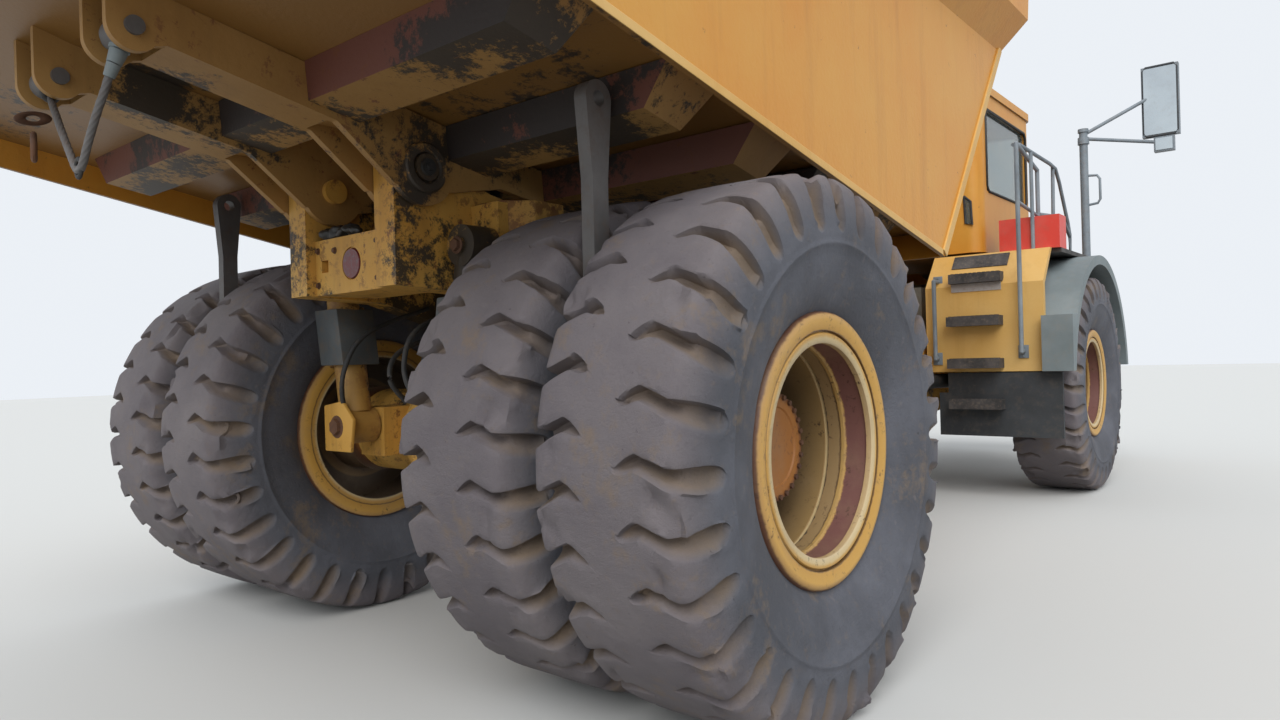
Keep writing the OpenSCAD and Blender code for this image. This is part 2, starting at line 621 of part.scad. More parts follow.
module front_bumper() color(plastic) {
    difference() {
        translate([-1450, front_y, 720]) cube([2900, 350, 560]);
        both() translate([900, front_y - 1, 900]) cube([380, 80, 220]);
    }
}
module head_lamps() color("white") both()
    translate([905, front_y + 12, 905]) cube([370, 60, 210]);

// The bonnet tips forward about its lower front edge
bonnet_back_y = front_axle_y + cab_back - cab_l - 40;
bonnet_half = 830;
bonnet_outline = [[front_y + 60, 1330], [front_y + 60, 1900], [front_y + 260, 2360], [bonnet_back_y, 2780],
    [bonnet_back_y, 1700], [bonnet_back_y - 500, 1560], [front_y + 500, 1330]];
module bonnet_shell() color(paint) difference() {
    slab(-bonnet_half, 2 * bonnet_half) polygon(bonnet_outline);
    slab(-bonnet_half + 40, 2 * bonnet_half - 80) offset_polygon();
    // Grille opening
    translate([-600, front_y, 1440]) cube([1200, 400, 760]);
}
module offset_polygon() polygon([[front_y + 120, 1200], [front_y + 120, 1880], [front_y + 300, 2310],
    [bonnet_back_y + 10, 2720], [bonnet_back_y + 10, 1200]]);
module grille() color(black) {
    translate([-599, front_y + 70, 1445]) cube([1198, 40, 440]);
}

// Cab

cab_y1 = front_axle_y + cab_back;
cab_y0 = cab_y1 - cab_l;
cab_top = cab_z + cab_h;
cab_x = cab_w / 2;
module cab_body_outline(grow) offset_rect(cab_x + grow, cab_y0 - grow, cab_y1 + grow, 140);
module offset_rect(x, y0, y1, r) translate([0, (y0 + y1) / 2]) union() {
    l = (y1 - y0) / 2;
    square([2 * x, 2 * (l - r)], center = true);
    square([2 * (x - r), 2 * l], center = true);
    for (sx = [-1, 1], sy = [-1, 1]) translate([sx * (x - r), sy * (l - r)]) circle(r = r);
}
door_y0 = cab_y0 + 330;
door_y1 = cab_y0 + 1180;
module cab_shell() color(paint) difference() {
    translate([0, 0, cab_z]) linear_extrude(cab_h - 80) cab_body_outline(0);
    translate([0, 0, cab_z + cab_t]) linear_extrude(cab_h) cab_body_outline(-cab_t);
    // Front, rear and side windows
    translate([-cab_x + 130, cab_y0 - 10, cab_z + sill_h - 150]) cube([cab_w - 260, cab_t + 160, 1000]);
    translate([-cab_x + 200, cab_y1 - cab_t - 160, cab_z + sill_h]) cube([cab_w - 400, cab_t + 170, 820]);
    translate([-cab_x - 10, cab_y0 + 200, cab_z + sill_h]) cube([cab_t + 20, 1400, 820]);
    // Doorway on the left
    translate([cab_x - cab_t - 10, door_y0, cab_z + cab_t]) cube([cab_t + 20, door_y1 - door_y0, 1420]);
    translate([cab_x - cab_t - 10, door_y1 + 70, cab_z + sill_h]) cube([cab_t + 20, 330, 820]);
}
module cab_roof() color(paint) {
    translate([0, 0, cab_top - 79]) linear_extrude(79) cab_body_outline(20);
}
glass_t = 8;
module cab_glass() color("lightblue", 0.4) {
    translate([-cab_x + 131, cab_y0 + 20, cab_z + sill_h - 149]) cube([cab_w - 262, glass_t, 998]);
    translate([-cab_x + 201, cab_y1 - 30, cab_z + sill_h + 1]) cube([cab_w - 402, glass_t, 818]);
    translate([-cab_x + 25, cab_y0 + 201, cab_z + sill_h + 1]) cube([glass_t, 1398, 818]);
    translate([cab_x - 35, door_y1 + 71, cab_z + sill_h + 1]) cube([glass_t, 328, 818]);
}
module cab_door() color(paint) difference() {
    translate([cab_x - cab_t + 5, door_y0 + side_gap, cab_z + cab_t + side_gap])
        cube([cab_t - 10, door_y1 - door_y0 - 2 * side_gap, 1420 - 2 * side_gap]);
    translate([cab_x - cab_t, door_y0 + 90, cab_z + sill_h - 100]) cube([cab_t, door_y1 - door_y0 - 180, 900]);
}
module door_glass() color("lightblue", 0.4)
    translate([cab_x - 35, door_y0 + 91, cab_z + sill_h - 99]) cube([glass_t, door_y1 - door_y0 - 182, 898]);
module cab_interior() color(black) {
    // Seat on its box
    translate([-250, cab_y1 - 900, cab_z + cab_t]) cube([500, 500, 300]);
    translate([-260, cab_y1 - 930, cab_z + cab_t + 300]) cube([520, 540, 140]);
    translate([-250, cab_y1 - 480, cab_z + cab_t + 400]) rotate([-8, 0, 0]) cube([500, 130, 720]);
    // Dash and steering wheel
    translate([-700, cab_y0 + 120, cab_z + cab_t]) cube([1400, 200, 560]);
    rod([0, cab_y0 + 300, cab_z + 500], [0, cab_y0 + 500, cab_z + 760], 30);
    translate([0, cab_y0 + 500, cab_z + 760]) rotate([37.6, 0, 0]) rotate_extrude() translate([220, 0]) circle(r = 16);
    translate([0, cab_y0 + 500, cab_z + 760]) rotate([37.6, 0, 0]) translate([-220, -25, -8]) cube([440, 50, 16]);
}

// Step panels: a tank inboard of the tyre with a rear panel that spans out to the mudguard
panel_y = front_axle_y + panel_back;
tank_y0 = front_axle_y + 250;
fold_z = 2030;
module panel_outline() polygon([[panel_y - 60, panel_low], [panel_y, panel_low],
    [panel_y, fold_z], [panel_y - 280, deck_z], [panel_y - 340, deck_z], [panel_y - 60, fold_z - 20]]);
module step_panel(s) color(paint) on_side(s) {
    slab(panel_in, panel_out - panel_in) panel_outline();
    slab(panel_in, 560) polygon([[tank_y0, panel_low + 150], [panel_y - 50, panel_low + 150],
        [panel_y - 50, fold_z - 20], [panel_y - 330, deck_z - deck_t], [tank_y0, deck_z - deck_t]]);
}
module step_panel_left() step_panel(1);
module step_panel_right() step_panel(-1);

skirt_in = 600;
skirt_out = 1710;
skirt_low = 600;
module lower_boxes() color(black) both() {
    difference() {
        translate([skirt_in, panel_y - 45, skirt_low]) cube([skirt_out - skirt_in, 40, panel_low - skirt_low - 10]);
        translate([skirt_in - 1, panel_y - 50, 1010]) cube([90, 60, 300]);
    }
    translate([760, panel_y - 500, skirt_low + 40])
        cube([front_track_half - tyre_w / 2 - tyre_gap - 760, 460, panel_low - skirt_low - 60]);
}

// Treads: height of each, and how far its front edge lies behind the panel
step_table = [[1290, 20], [1690, 20], [2100, -70]];
step_x = 975;
module steps() color(black) both() {
    difference() {
        for (s = step_table) translate([step_x - step_w / 2, panel_y + s[1] - 30, s[0] - 45])
            cube([step_w, 160, 90]);
        slab(panel_in, panel_out - panel_in) panel_outline();
        // Everything ahead of the panel is cut off
        translate([panel_in, panel_y - 450, panel_low]) cube([panel_out - panel_in, 400, 1000]);
    }
    translate([step_x - step_w / 2, panel_y - 5, 860]) cube([step_w, 135, 90]);
}

module mudguard(s) color(plastic) on_side(s) difference() {
    translate([0, front_axle_y, axle_z]) slab(guard_out - 660, 660) difference() {
        union() {
            circle(r = arch_r + guard_t, $fn = 96);
            translate([0, panel_low - axle_z]) square([arch_r + guard_t, 500]);
        }
        circle(r = arch_r, $fn = 96);
        translate([-2000, panel_low - axle_z - 2000]) square([4000, 2000]);
    }
    translate([panel_in, panel_y - 60, panel_low - 1]) cube([panel_out - panel_in, 400, 1000]);
}
module mudguard_left() mudguard(1);
module mudguard_right() mudguard(-1);

module decks() color(black) both()
    translate([cab_x + 10, cab_y0, deck_z - deck_t]) cube([guard_out - cab_x - 200, cab_l - 100, deck_t]);
module deck_box() color("firebrick")
    translate([-1640, panel_y - 595, deck_z]) cube([540, 250, 310]);

hand_x = 1390;
module handrails() color(steel) both() {
    tube([[hand_x, panel_y, 1390], [hand_x, panel_y + 70, 1390], [hand_x, panel_y + 70, 3290],
        [hand_x, panel_y - 620, 3150], [hand_x, panel_y - 620, deck_z]], rail_tube_r);
    tube([[hand_x, panel_y + 70, 2760], [hand_x, panel_y - 640, 2700]], rail_tube_r * 0.8);
    difference() {
        tube([[600, panel_y - 10, 1340], [600, panel_y + 70, 1340], [600, panel_y + 70, 2090],
            [600, panel_y - 80, 2090]], rail_tube_r);
        slab(panel_in, 200) panel_outline();
    }
}

post_x = 1600;
post_y = front_axle_y - 480;
module mirrors() color(steel) both() {
    rod([post_x, post_y, deck_z], [post_x, post_y, 3670], 40);
    rod([post_x, post_y, 3640], [2200, post_y - 300, 3990], 18);
    rod([post_x, post_y, 3600], [2250, post_y - 300, 3500], 18);
    translate([2100, post_y - 340, 3560]) cube([330, 80, 720]);
    translate([2200, post_y - 340, 3400]) cube([180, 80, 150]);
}
module exhaust() color(steel)
    translate([front_rail_x, cab_y1 + 140, 1700]) cylinder(h = 2100, r = 90);

rear_frame();
rear_axle();
rear_struts();
rear_propshaft();
tail_beam();
hitch_tube();
front_frame();
tow_lug();
engine_block();
front_axle();
front_struts();
front_propshaft();
front_bumper();
head_lamps();
cab_shell();
cab_roof();
cab_glass();
cab_interior();
cab_door();
door_glass();
bonnet_shell();
grille();
step_panel_left();
step_panel_right();
steps();
lower_boxes();
mudguard_left();
mudguard_right();
decks();
handrails();
deck_box();
mirrors();
exhaust();
bed_tub();
bed_ribs();
bed_beams();
bed_rails();
ejector_left();
ejector_right();
tip_barrels();
tip_stages();
tip_rods();
steer_barrel_left();
steer_barrel_right();
steer_rod_left();
steer_rod_right();
rear_rim_left();
rear_rim_right();
rear_tyres_left();
rear_tyres_right();
front_rim_left();
front_rim_right();
front_tyre_left();
front_tyre_right();
sling_fittings();
sling();
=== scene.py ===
import math

import bmesh
import bpy
import numpy as np
from mathutils import Matrix, Vector, noise


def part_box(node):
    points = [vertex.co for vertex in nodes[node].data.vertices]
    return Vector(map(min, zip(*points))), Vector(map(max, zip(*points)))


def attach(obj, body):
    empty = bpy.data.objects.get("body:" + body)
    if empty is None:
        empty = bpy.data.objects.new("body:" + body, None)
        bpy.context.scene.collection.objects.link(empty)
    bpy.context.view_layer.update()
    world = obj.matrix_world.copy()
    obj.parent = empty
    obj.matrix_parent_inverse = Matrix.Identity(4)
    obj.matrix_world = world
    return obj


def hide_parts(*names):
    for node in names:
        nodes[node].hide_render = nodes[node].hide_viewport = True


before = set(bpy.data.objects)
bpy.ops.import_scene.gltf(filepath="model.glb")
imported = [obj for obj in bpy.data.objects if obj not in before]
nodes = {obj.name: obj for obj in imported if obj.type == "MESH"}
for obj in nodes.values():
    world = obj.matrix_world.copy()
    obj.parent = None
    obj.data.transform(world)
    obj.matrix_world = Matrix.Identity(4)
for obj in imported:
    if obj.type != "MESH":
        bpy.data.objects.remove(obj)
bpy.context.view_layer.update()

# The view, from low behind the right rear corner

camera = {"place": (-3.6101, 6.5179, 1.4251), "yaw": 0.6869, "pitch": -0.0015, "roll": -0.0287, "lens": 23.89}


def aimCamera(c):
    cy, sy = math.cos(c["yaw"]), math.sin(c["yaw"])
    cp, sp = math.cos(c["pitch"]), math.sin(c["pitch"])
    ahead = Vector((sy * cp, -cy * cp, sp))
    level = Vector((-cy, -sy, 0))
    up = level.cross(ahead)
    side = level * math.cos(c["roll"]) + up * math.sin(c["roll"])
    up = up * math.cos(c["roll"]) - level * math.sin(c["roll"])
    data = bpy.data.cameras.new("camera")
    data.lens, data.sensor_width, data.clip_end = c["lens"], 36, 200
    made = bpy.data.objects.new("camera", data)
    turn = Matrix((side, up, -ahead)).transposed().to_4x4()
    made.matrix_world = Matrix.Translation(c["place"]) @ turn
    bpy.context.scene.collection.objects.link(made)
    bpy.context.scene.camera = made


aimCamera(camera)
print("camera set")

def addNode(tree, kind, inputs=None, **settings):  # inputs are sockets to link or values to set
    made = tree.nodes.new("ShaderNode" + kind)
    for name, value in settings.items():
        setattr(made, name, value)
    for key, value in (inputs or {}).items():
        if isinstance(value, bpy.types.NodeSocket):
            tree.links.new(value, made.inputs[key])
        else:
            made.inputs[key].default_value = value
    return made


def startMaterial(name, roughness=0.6, metallic=0.0):
    made = bpy.data.materials.new(name)
    made.use_nodes = True
    tree = made.node_tree
    shader = tree.nodes["Principled BSDF"]
    shader.inputs["Roughness"].default_value = roughness
    shader.inputs["Metallic"].default_value = metallic
    place = addNode(tree, "TexCoord").outputs["Object"]
    return made, tree, shader, place


def rgba(colour):
    return (*colour, 1.0)


def noiseAt(tree, place, scale, detail=4, roughness=0.6, stretch=None):
    if stretch:
        place = addNode(tree, "Mapping", {"Vector": place, "Scale": stretch}).outputs[0]
    return addNode(tree, "TexNoise", {"Vector": place, "Scale": scale, "Detail": detail,
                                      "Roughness": roughness}).outputs["Fac"]


def rampOf(tree, value, low, high, top=1.0):
    return addNode(tree, "MapRange", {"Value": value, "From Min": low, "From Max": high,
                                      "To Min": 0.0, "To Max": top}, clamp=True).outputs[0]


def blendOf(tree, share, first, second, mode="MIX"):
    made = addNode(tree, "Mix", data_type="RGBA", blend_type=mode)
    for index, value in ((0, share), (6, first), (7, second)):
        if isinstance(value, bpy.types.NodeSocket):
            tree.links.new(value, made.inputs[index])
        else:
            made.inputs[index].default_value = rgba(value) if index else value
    return made.outputs[2]


def mathOf(tree, operation, *values):
    return addNode(tree, "Math", dict(enumerate(values)), operation=operation).outputs[0]


def timesOf(tree, first, second):
    return mathOf(tree, "MULTIPLY", first, second)


def facingOf(tree, axis):  # how far a face looks along an axis, in the object's own space
    return addNode(tree, "SeparateXYZ", {0: addNode(tree, "TexCoord").outputs["Normal"]}).outputs[axis]


def colourWith(tree, shader, colour):
    tree.links.new(colour, shader.inputs["Base Color"])


def bumpFrom(tree, shader, height, distance, strength=0.5):
    made = addNode(tree, "Bump", {"Height": height, "Distance": distance, "Strength": strength})
    tree.links.new(made.outputs[0], shader.inputs["Normal"])


# Paint over steel: two tones, vertical streaks, chalky bloom, rust spots, and a dark mask with speckled edges that is
# partly soot and partly painted shade; faces that look down also get painted shade
paints = {
    "yellowPaint": {"base": (0.66, 0.268, 0.024), "pale": (0.68, 0.335, 0.052), "dark": (0.43, 0.17, 0.022),
                    "rust": 0.70, "sootAndShade": 0.80, "streak": 0.35, "rough": 0.45, "shadedLowFace": (0.27, 0.135, 0.034)},
    "panelPaint": {"base": (0.66, 0.36, 0.075), "pale": (0.74, 0.48, 0.17), "dark": (0.46, 0.23, 0.05),
                   "rust": 0.74, "sootAndShade": 0.88, "streak": 0.3, "rough": 0.5, "shadedLowFace": (0.30, 0.16, 0.045)},
    "undersidePaint": {"base": (0.33, 0.172, 0.045), "pale": (0.42, 0.24, 0.075), "dark": (0.13, 0.065, 0.022),
                       "rust": 0.64, "sootAndShade": 0.60, "streak": 0.25, "rough": 0.62},
    "framePaint": {"base": (0.60, 0.30, 0.045), "pale": (0.66, 0.40, 0.10), "dark": (0.16, 0.075, 0.025),
                   "rust": 0.60, "sootAndShade": 0.585, "streak": 0.4, "rough": 0.58},
}
paints["hitchPaint"] = dict(paints["framePaint"], base=(0.30, 0.15, 0.03), sootAndShade=0.54)
paints["boxPaint"] = dict(paints["framePaint"], base=(0.46, 0.19, 0.035), rust=0.52, sootAndShade=0.60)
# The ribs' low soot threshold spreads the dark mask over them: partly soot, partly painted shade
paints["ribPaint"] = dict(paints["undersidePaint"], backFace=(0.13, 0.036, 0.032), sootAndShade=0.535)
paints["strutPaint"] = {"base": (0.46, 0.25, 0.05), "pale": (0.30, 0.17, 0.05), "dark": (0.08, 0.06, 0.05),
                        "rust": 0.56, "sootAndShade": 0.54, "streak": 0.5, "rough": 0.6}
rustColour = (0.16, 0.055, 0.025)
sootAndShadeColour = (0.018, 0.018, 0.017)


def paintMaterial(name, p):
    made, tree, shader, place = startMaterial(name, p["rough"])
    broad = noiseAt(tree, place, 0.9, 5)
    fine = noiseAt(tree, place, 9, 6, 0.7)
    streak = noiseAt(tree, place, 1.0, 4, 0.65, (7, 7, 0.7))
    colour = blendOf(tree, rampOf(tree, broad, 0.35, 0.7), p["base"], p["pale"])
    colour = blendOf(tree, rampOf(tree, streak, 0.52, 0.75, p["streak"]), colour, p["dark"])
    colour = blendOf(tree, rampOf(tree, fine, 0.5, 0.85, 0.5), colour, p["pale"])
    if "backFace" in p:  # primer shows on the faces that look to the tail
        colour = blendOf(tree, rampOf(tree, facingOf(tree, "Y"), 0.5, 0.6, 0.9), colour, p["backFace"])
    low = 0.0
    if "shadedLowFace" in p:  # painted shade: faces that look down are darkened towards a shade colour and get more of the dark mask
        low = rampOf(tree, facingOf(tree, "Z"), -0.72, -0.88)
        colour = blendOf(tree, low, colour, p["shadedLowFace"])
    spots = noiseAt(tree, place, 17, 8, 0.75)
    patch = noiseAt(tree, place, 2.3, 3)
    rusty = timesOf(tree, rampOf(tree, spots, p["rust"] - 0.06, p["rust"]), rampOf(tree, patch, 0.35, 0.6))
    colour = blendOf(tree, rusty, colour, rustColour)
    speckle = timesOf(tree, noiseAt(tree, place, 26, 4, 0.8), 0.34)
    # The dark mask is partly soot and partly painted shade: random soot, spread wider where the threshold is low
    sootAndShade = mathOf(tree, "ADD", noiseAt(tree, place, 1.3, 4), speckle)
    # painted shade: faces that look down raise the dark mask, so they darken further
    sootAndShade = mathOf(tree, "MULTIPLY_ADD", low, 0.17, sootAndShade)
    sootAndShadeShare = rampOf(tree, sootAndShade, p["sootAndShade"] + 0.12, p["sootAndShade"] + 0.17, 0.93)
    colour = blendOf(tree, sootAndShadeShare, colour, sootAndShadeColour)
    colourWith(tree, shader, colour)
    bumpFrom(tree, shader, noiseAt(tree, place, 45, 4), 0.004, 0.35)
    return made


materials = {name: paintMaterial(name, p) for name, p in paints.items()}

# A wheel's paint goes by the distance from its axle, and inside the barrel by the depth behind the flange
wheelPaint = {"rearRimPaint": {"axle": 3.55, "height": 1.055, "plane": 2.108},
              "frontRimPaint": {"axle": -2.9, "height": 1.055, "plane": 1.748}}
# The pale stops at 0.412 and 0.430, on the rim's inner lip ring, are a painted highlight over its ochre paint
faceBands = [(0.0, (0.33, 0.125, 0.026)), (0.19, (0.37, 0.145, 0.03)), (0.214, (0.13, 0.05, 0.022)),
             (0.24, (0.10, 0.06, 0.035)), (0.40, (0.44, 0.27, 0.10)), (0.412, (0.60, 0.47, 0.27)),
             (0.430, (0.62, 0.47, 0.24)), (0.440, (0.58, 0.34, 0.09)), (0.452, (0.52, 0.28, 0.06)),
             (0.459, (0.10, 0.055, 0.025)), (0.464, (0.54, 0.29, 0.055)), (0.50, (0.62, 0.35, 0.075)),
             (0.522, (0.52, 0.30, 0.10)), (0.529, (0.13, 0.055, 0.03))]
# Past the stop at 0.238 the barrel fades darker towards its deepest part: painted shade
depthBands = [(0.0, (0.62, 0.48, 0.28)), (0.044, (0.50, 0.34, 0.16)), (0.048, (0.20, 0.09, 0.075)),
              (0.136, (0.19, 0.085, 0.075)), (0.143, (0.55, 0.35, 0.12)), (0.163, (0.46, 0.28, 0.09)),
              (0.168, (0.14, 0.09, 0.05)), (0.173, (0.36, 0.24, 0.11)), (0.222, (0.34, 0.22, 0.10)),
              (0.226, (0.05, 0.035, 0.025)), (0.234, (0.05, 0.035, 0.025)), (0.238, (0.36, 0.23, 0.09)),
              (0.36, (0.20, 0.13, 0.06)), (0.5, (0.10, 0.07, 0.045))]


def bandsOf(tree, value, bands, span):
    made = addNode(tree, "ValToRGB", {0: mathOf(tree, "DIVIDE", value, span)})
    stops = made.color_ramp.elements
    for index, (place, colour) in enumerate(bands):
        stop = stops[index] if index < 2 else stops.new(1.0)
        stop.position, stop.color = place / span, rgba(colour)
    return made.outputs[0]


def rimMaterial(name, w):
    made, tree, shader, place = startMaterial(name, 0.5)
    wobble = mathOf(tree, "SUBTRACT", noiseAt(tree, place, 26, 6, 0.7), 0.5)
    parts = addNode(tree, "SeparateXYZ", {0: place}).outputs
    centred = addNode(tree, "CombineXYZ", {"Y": mathOf(tree, "SUBTRACT", parts["Y"], w["axle"]),
                                           "Z": mathOf(tree, "SUBTRACT", parts["Z"], w["height"])}).outputs[0]
    far = addNode(tree, "VectorMath", {0: centred}, operation="LENGTH").outputs["Value"]
    deep = mathOf(tree, "SUBTRACT", w["plane"], mathOf(tree, "ABSOLUTE", parts["X"]))
    farRough = mathOf(tree, "MULTIPLY_ADD", wobble, 0.012, far)
    deepRough = mathOf(tree, "MULTIPLY_ADD", wobble, 0.03, deep)
    face = bandsOf(tree, farRough, faceBands, 0.55)
    barrel = bandsOf(tree, deepRough, depthBands, 0.52)
    inside = timesOf(tree, rampOf(tree, far, 0.426, 0.4235), rampOf(tree, far, 0.30, 0.31))
    inside = timesOf(tree, inside, rampOf(tree, deep, 0.02, 0.024))
    colour = blendOf(tree, inside, face, barrel)
    chips = noiseAt(tree, place, 34, 9, 0.8)
    patch = noiseAt(tree, place, 7, 4)
    colour = blendOf(tree, timesOf(tree, rampOf(tree, chips, 0.56, 0.60), rampOf(tree, patch, 0.45, 0.62, 0.9)),
                     colour, (0.06, 0.03, 0.02))
    dusty = rampOf(tree, noiseAt(tree, place, 5, 6), 0.5, 0.8, 0.35)
    colour = blendOf(tree, dusty, colour, (0.34, 0.24, 0.14))
    colourWith(tree, shader, colour)
    bumpFrom(tree, shader, chips, 0.003, 0.4)
    return made


materials.update({name: rimMaterial(name, w) for name, w in wheelPaint.items()})

# Plain finishes: a base tone, a worn tone, dust and a grain
finishes = {
    "greyPlastic": {"base": (0.17, 0.205, 0.212), "worn": (0.25, 0.29, 0.30), "dust": (0.26, 0.22, 0.16),
                    "dusty": 0.25, "rough": 0.62, "scale": 4.0, "grain": 90, "depth": 0.0015},
    "strutGrey": {"base": (0.07, 0.08, 0.085), "worn": (0.12, 0.13, 0.13), "dust": (0.16, 0.10, 0.05),
                  "dusty": 0.45, "rough": 0.6, "scale": 6.0, "grain": 70, "depth": 0.002},
    "darkPlastic": {"base": (0.022, 0.025, 0.028), "worn": (0.05, 0.055, 0.06), "dust": (0.14, 0.11, 0.08),
                    "dusty": 0.3, "rough": 0.6, "scale": 5.0, "grain": 80, "depth": 0.002},
    "blackTread": {"base": (0.035, 0.033, 0.033), "worn": (0.10, 0.09, 0.085), "dust": (0.22, 0.17, 0.12),
                   "dusty": 0.5, "rough": 0.7, "scale": 12.0, "grain": 70, "depth": 0.003},
    "bareSteel": {"base": (0.085, 0.08, 0.078), "worn": (0.16, 0.15, 0.145), "dust": (0.12, 0.07, 0.045),
                  "dusty": 0.45, "rough": 0.55, "scale": 6.0, "grain": 60, "depth": 0.003},
    "redPaint": {"base": (0.74, 0.065, 0.045), "worn": (0.74, 0.14, 0.11), "dust": (0.35, 0.16, 0.11),
                 "dusty": 0.25, "rough": 0.45, "scale": 5.0, "grain": 60, "depth": 0.001},
    "greasyBlack": {"base": (0.014, 0.014, 0.014), "worn": (0.03, 0.029, 0.027), "dust": (0.07, 0.045, 0.03),
                    "dusty": 0.5, "rough": 0.5, "scale": 6.0, "grain": 50, "depth": 0.004},
    "railSteel": {"base": (0.17, 0.20, 0.225), "worn": (0.28, 0.32, 0.35), "dust": (0.16, 0.10, 0.06),
                  "dusty": 0.35, "rough": 0.5, "scale": 7.0, "grain": 70, "depth": 0.001},
    "rustyIron": {"base": (0.085, 0.040, 0.022), "worn": (0.17, 0.075, 0.035), "dust": (0.05, 0.035, 0.03),
                  "dusty": 0.5, "rough": 0.75, "scale": 14.0, "grain": 60, "depth": 0.003},
    "darkRubber": {"base": (0.016, 0.017, 0.018), "worn": (0.04, 0.038, 0.036), "dust": (0.10, 0.07, 0.045),
                   "dusty": 0.45, "rough": 0.65, "scale": 9.0, "grain": 80, "depth": 0.001},
    "redLens": {"base": (0.16, 0.012, 0.012), "worn": (0.11, 0.05, 0.05), "dust": (0.12, 0.11, 0.11),
                "dusty": 0.8, "rough": 0.3, "scale": 16.0, "grain": 120, "depth": 0.001},
    "mirrorFace": {"base": (0.62, 0.68, 0.70), "worn": (0.52, 0.57, 0.60), "dust": (0.4, 0.38, 0.34),
                   "dusty": 0.2, "rough": 0.06, "metal": 0.9, "scale": 4.0, "grain": 90, "depth": 0.0002},
    "paleSteel": {"base": (0.40, 0.37, 0.35), "worn": (0.50, 0.47, 0.45), "dust": (0.22, 0.17, 0.13),
                  "dusty": 0.5, "rough": 0.6, "scale": 9.0, "grain": 70, "depth": 0.001},
    "engineIron": {"base": (0.10, 0.095, 0.08), "worn": (0.16, 0.15, 0.12), "dust": (0.08, 0.055, 0.04),
                   "dusty": 0.6, "rough": 0.7, "scale": 5.0, "grain": 50, "depth": 0.004},
}


def finishMaterial(name, f):
    made, tree, shader, place = startMaterial(name, f["rough"], f.get("metal", 0.0))
    broad = noiseAt(tree, place, f["scale"] * 0.4, 5)
    fine = noiseAt(tree, place, f["scale"] * 3, 6, 0.7)
    colour = blendOf(tree, rampOf(tree, broad, 0.4, 0.7), f["base"], f["worn"])
    colour = blendOf(tree, rampOf(tree, fine, 0.5, 0.72, f["dusty"]), colour, f["dust"])
    colourWith(tree, shader, colour)
    bumpFrom(tree, shader, noiseAt(tree, place, f["grain"], 4), f["depth"], 0.4)
    return made


materials.update({name: finishMaterial(name, f) for name, f in finishes.items()})


# Smooth finishes: a clean tone under a film of dirt
smoothFinishes = {
    "cabGlass": {"clean": (0.42, 0.50, 0.50), "film": (0.55, 0.55, 0.50), "rough": 0.06, "scale": 3, "detail": 5,
                 "filmFrom": 0.4, "through": 0.85, "ior": 1.45},
    "lampGlass": {"clean": (0.62, 0.64, 0.62), "film": (0.45, 0.42, 0.34), "rough": 0.12, "scale": 6, "detail": 4,
                  "filmFrom": 0.4, "ridges": 16.0},
    "polishedRod": {"clean": (0.62, 0.62, 0.63), "film": (0.30, 0.24, 0.18), "rough": 0.18, "scale": 12,
                    "detail": 5, "filmFrom": 0.5, "metal": 1.0},
}


def smoothMaterial(name, f):
    made, tree, shader, place = startMaterial(name, f["rough"], f.get("metal", 0.0))
    film = rampOf(tree, noiseAt(tree, place, f["scale"], f["detail"]), f["filmFrom"], 0.8)
    colourWith(tree, shader, blendOf(tree, film, f["clean"], f["film"]))
    if "through" in f:
        shader.inputs["Transmission Weight"].default_value = f["through"]
        shader.inputs["IOR"].default_value = f["ior"]
    if "ridges" in f:
        wave = addNode(tree, "TexWave", {"Vector": place, "Scale": f["ridges"], "Distortion": 0.0},
                       bands_direction="X")
        bumpFrom(tree, shader, wave.outputs["Fac"], 0.003, 0.5)
    return made


materials.update({name: smoothMaterial(name, f) for name, f in smoothFinishes.items()})

# side is the sidewall rubber's dark tone; its blue tint is a painted sky reflection
rubber = {"tread": (0.145, 0.127, 0.137), "worn": (0.20, 0.176, 0.18), "side": (0.082, 0.085, 0.10),
          "dust": (0.235, 0.165, 0.10), "crack": (0.03, 0.025, 0.025)}


def rubberMaterial(r):
    made, tree, shader, place = startMaterial("wornRubber", 0.78)
    onTread = addNode(tree, "Attribute", attribute_name="treadShare").outputs["Fac"]
    inGroove = addNode(tree, "Attribute", attribute_name="grooveShare").outputs["Fac"]
    broad = noiseAt(tree, place, 2.2, 6)
    fine = noiseAt(tree, place, 24, 7, 0.75)
    side = blendOf(tree, rampOf(tree, broad, 0.4, 0.7), r["side"], tuple(v * 1.7 for v in r["side"]))
    tread = blendOf(tree, rampOf(tree, broad, 0.38, 0.68), r["tread"], r["worn"])
    colour = blendOf(tree, onTread, side, tread)
    colour = blendOf(tree, timesOf(tree, inGroove, rampOf(tree, broad, 0.3, 0.6, 0.75)), colour, r["dust"])
    colour = blendOf(tree, rampOf(tree, fine, 0.56, 0.75, 0.35), colour, r["dust"])
    mud = noiseAt(tree, place, 3.1, 6, 0.75)
    colour = blendOf(tree, rampOf(tree, mud, 0.56, 0.66, 0.55), colour, r["dust"])
    scuffs = noiseAt(tree, place, 1.0, 5, 0.7, (4, 22, 22))
    colour = blendOf(tree, rampOf(tree, scuffs, 0.62, 0.72, 0.5), colour, r["worn"])
    colour = blendOf(tree, rampOf(tree, noiseAt(tree, place, 44, 8, 0.8), 0.62, 0.68, 0.85), colour, r["crack"])
    colourWith(tree, shader, colour)
    bumpFrom(tree, shader, noiseAt(tree, place, 30, 10, 0.8), 0.012, 0.8)
    return made


materials["wornRubber"] = rubberMaterial(rubber)
print("materials made")

def meshObject(bm, name):
    data = bpy.data.meshes.new(name)
    bm.to_mesh(data)
    bm.free()
    made = bpy.data.objects.new(name, data)
    bpy.context.scene.collection.objects.link(made)
    return made


